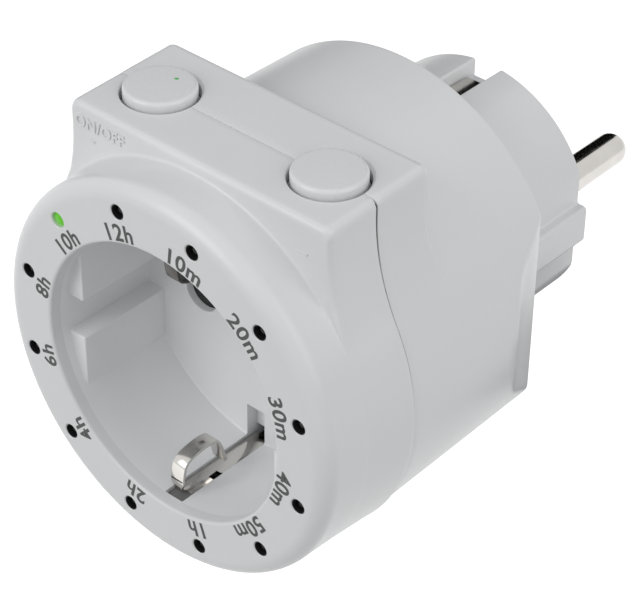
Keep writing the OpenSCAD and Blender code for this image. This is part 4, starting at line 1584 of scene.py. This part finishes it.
@dataclass
class Plug:
    """The two round pins and the earth bracket's strips."""

    pin_r: float = 2.4
    shank_r: float = 2.0
    shank_y: float = -17.6
    tip_y: float = 19.4
    pin_x: float = 9.5
    shank_end: float = -1.6
    rings: Point = (4.0, 12.0)

    def build(self) -> None:
        """Builds and dresses the pins."""
        r, dome_y = self.pin_r, self.tip_y - self.pin_r
        profile = [(0, self.shank_y), (self.shank_r, self.shank_y), (self.shank_r, self.shank_end)]
        profile += [(r, y) for y in (self.shank_end, *self.rings, dome_y)]
        profile += arc((0, dome_y), r, 9, 90, 9)
        pins = (("pin_left", "live_pin", -self.pin_x), ("pin_right", "neutral_pin", self.pin_x))
        for name, node, x in pins:
            finished(turned(profile, (x, 0, 0), steps=64), name, Body.HOUSING, NICKEL, [node])
        dressed(["earth_bracket"], NICKEL)


# Works inside


@dataclass
class Works:
    """The CAD nodes inside the housing, which keep their shapes."""

    finishes: tuple[tuple[Finish, tuple[str, ...]], ...] = (
        (DARK, ("light_shield_ring", "fuse", "rectifier")),
        (BLACK, ("microcontroller", "electrolytic_capacitor", "relay")),
        (BLACK, ("switch_body_left", "switch_body_right")),
        (GREY, ("shutter", "contact_carrier", "pin_carrier")),
        (PALE, ("led_connector", "plunger_left", "plunger_right", "ribbon_cable")),
        (YELLOW, ("film_capacitor",)),
        (BLUE, ("varistor",)),
        (BOARD, ("led_ring_board", "main_board", "button_board")),
        (BRASS, ("live_receptacle", "neutral_receptacle", "live_busbar", "neutral_busbar")),
        (STEEL, ("carrier_screws", "shutter_spring")),
        (UNLIT, ("status_led",)),
    )

    def build(self) -> None:
        """Dresses the nodes."""
        for finish, nodes in self.finishes:
            dressed(nodes, finish)


# Studio


@dataclass
class Studio:
    """The camera of the photograph, a pale floor and soft light."""

    azimuth: float = 41.14
    elevation: float = 36.92
    roll: float = 0.82
    focal_px: float = 2393.0
    offset: Place = (19.91, 9.72, 295.8)
    floor_z: float = -0.085
    sky: float = 0.56
    middle: Place = (0.0, -0.035, 0.0)
    image_width: int = 640
    sensor: float = 36.0
    clip: Point = (0.01, 20.0)
    floor_half: float = 3.0
    floor_level: float = 0.38
    floor_lift: float = 0.5
    card_level: float = 0.01

    def camera(self) -> None:
        """Places the camera as the photograph's."""
        a, e, t = (math.radians(v) for v in (self.azimuth, self.elevation, self.roll))
        back = Vector((math.sin(a) * math.cos(e), -math.cos(a) * math.cos(e), math.sin(e)))
        right = Vector((math.cos(a), math.sin(a), 0))
        up = back.cross(right)
        right, up = right * math.cos(t) + up * math.sin(t), up * math.cos(t) - right * math.sin(t)
        u, v, d = self.offset
        place = (right * u + up * v + back * d + Vector((0, FACE_Y, 0))) * MM
        data = bpy.data.cameras.new("camera")
        data.sensor_width, data.sensor_fit = self.sensor, "HORIZONTAL"
        data.lens = self.focal_px / self.image_width * self.sensor
        data.clip_start, data.clip_end = self.clip
        made = bpy.data.objects.new("camera", data)
        made.matrix_world = Matrix.Translation(place) @ Matrix((right, up, back)).transposed().to_4x4()
        bpy.context.scene.collection.objects.link(made)
        bpy.context.scene.camera = made

    def world(self) -> None:
        """Lights from all round, paler above, with a white background for camera, glossy and clear rays."""
        world = bpy.data.worlds.new("studio")
        bpy.context.scene.world = world
        tree = ShaderTree(world)
        soft, plain = (
            tree.node("ShaderNodeBackground", {}, {"Color": rgb(1.0), "Strength": level}).outputs[0]
            for level in (self.sky, 1.0)
        )
        mixed = tree.node("ShaderNodeMixShader", {}, {0: tree.sees_white(), 1: soft, 2: plain})
        tree.output(mixed, "ShaderNodeOutputWorld")

    def floor(self) -> None:
        """A pale floor that the camera sees as white, less the object's shadow."""
        bm = bmesh.new()
        bmesh.ops.create_grid(bm, x_segments=1, y_segments=1, size=self.floor_half)
        bmesh.ops.translate(bm, vec=(0, 0, self.floor_z), verts=bm.verts)
        made = placed(bm, "floor")
        material = bpy.data.materials.new("pale_floor")
        tree = ShaderTree(material)
        lift = tree.node("ShaderNodeEmission", {}, {"Color": rgb(1.0), "Strength": self.floor_lift})
        white = tree.node("ShaderNodeAddShader", {}, {0: tree.diffuse(1.0).outputs[0], 1: lift.outputs[0]})
        matt = tree.diffuse(self.floor_level)
        tree.output(tree.node(
            "ShaderNodeMixShader", {}, {0: tree.sees_white(), 1: matt.outputs[0], 2: white.outputs[0]}
        ))
        made.data.materials.append(material)

    def turned_to(self, made: bpy.types.Object, direction: Place, distance: float) -> None:
        """Places an object in a direction from the switch and turns its -Z to the switch."""
        away = Vector(direction).normalized()
        place = Vector(self.middle) + away * distance
        made.matrix_world = Matrix.Translation(place) @ away.to_track_quat("Z", "Y").to_matrix().to_4x4()

    def lamp(self, name: str, direction: Place, distance: float, size: float, level: float) -> None:
        """Adds a square soft lamp.

        Args:
            name: the lamp's name.
            direction: where it is, seen from the switch.
            distance: how far away it is, in metres.
            size: the length of its side, in metres.
            level: the brightness of a white surface that faces it.
        """
        data = bpy.data.lights.new(name, "AREA")
        data.shape, data.size = "SQUARE", size
        data.energy = level * math.pi ** 2 * distance ** 2
        made = bpy.data.objects.new(name, data)
        bpy.context.scene.collection.objects.link(made)
        self.turned_to(made, direction, distance)

    def card(self, name: str, direction: Place, distance: float, width: float, height: float) -> None:
        """Adds a black card that only mirror-like surfaces see.

        Args:
            name: the card's name.
            direction: where it is, seen from the switch.
            distance: how far away it is, in metres.
            width: its width, in metres.
            height: its height, in metres.
        """
        bm = bmesh.new()
        bmesh.ops.create_grid(bm, x_segments=1, y_segments=1, size=0.5)
        bmesh.ops.scale(bm, vec=(width, height, 1), verts=bm.verts)
        made = placed(bm, name)
        material = bpy.data.materials.new(name)
        tree = ShaderTree(material)
        tree.output(tree.diffuse(self.card_level))
        made.data.materials.append(material)
        made.visible_camera = made.visible_diffuse = made.visible_shadow = made.visible_transmission = False
        self.turned_to(made, direction, distance)

    def build(self) -> None:
        """Sets up the studio."""
        self.camera()
        self.world()
        self.floor()
        self.lamp("front_lamp", (-0.3, -0.8, 0.5), 0.8, 0.5, 0.33)
        self.lamp("side_lamp", (0.85, 0.15, 0.5), 0.8, 0.6, 0.24)
        self.card("upper_card", (-0.65, 0.6, 0.42), 0.5, 0.62, 0.62)
        self.card("lower_card", (0.1, 0.75, -0.65), 0.115, 0.1, 0.035)
        bpy.context.scene.view_settings.view_transform = "Standard"


def main() -> None:
    """Builds every sub-assembly in order and reports each piece."""
    logging.basicConfig(level=logging.INFO, format="%(name)s %(message)s")
    Studio().build()
    Housing().build()
    Lettering().build()
    Button("left_cap", "on_off_button", Body.ON_OFF, -BUTTONS.pitch_half, True).build()
    Button("right_cap", "timer_button", Body.TIMER, BUTTONS.pitch_half, False).build()
    Socket().build()
    # The upper clip's nickel is painted dark as shade and dark reflection
    EarthClip("upper_clip", "earth_clip_upper", Body.UPPER_CLIP, 1, NICKEL_PAINTED_SHADE).build()
    EarthClip("lower_clip", "earth_clip_lower", Body.LOWER_CLIP, -1).build()
    Lights().build()
    Plug().build()
    Works().build()


if __name__ == "__main__":
    main()
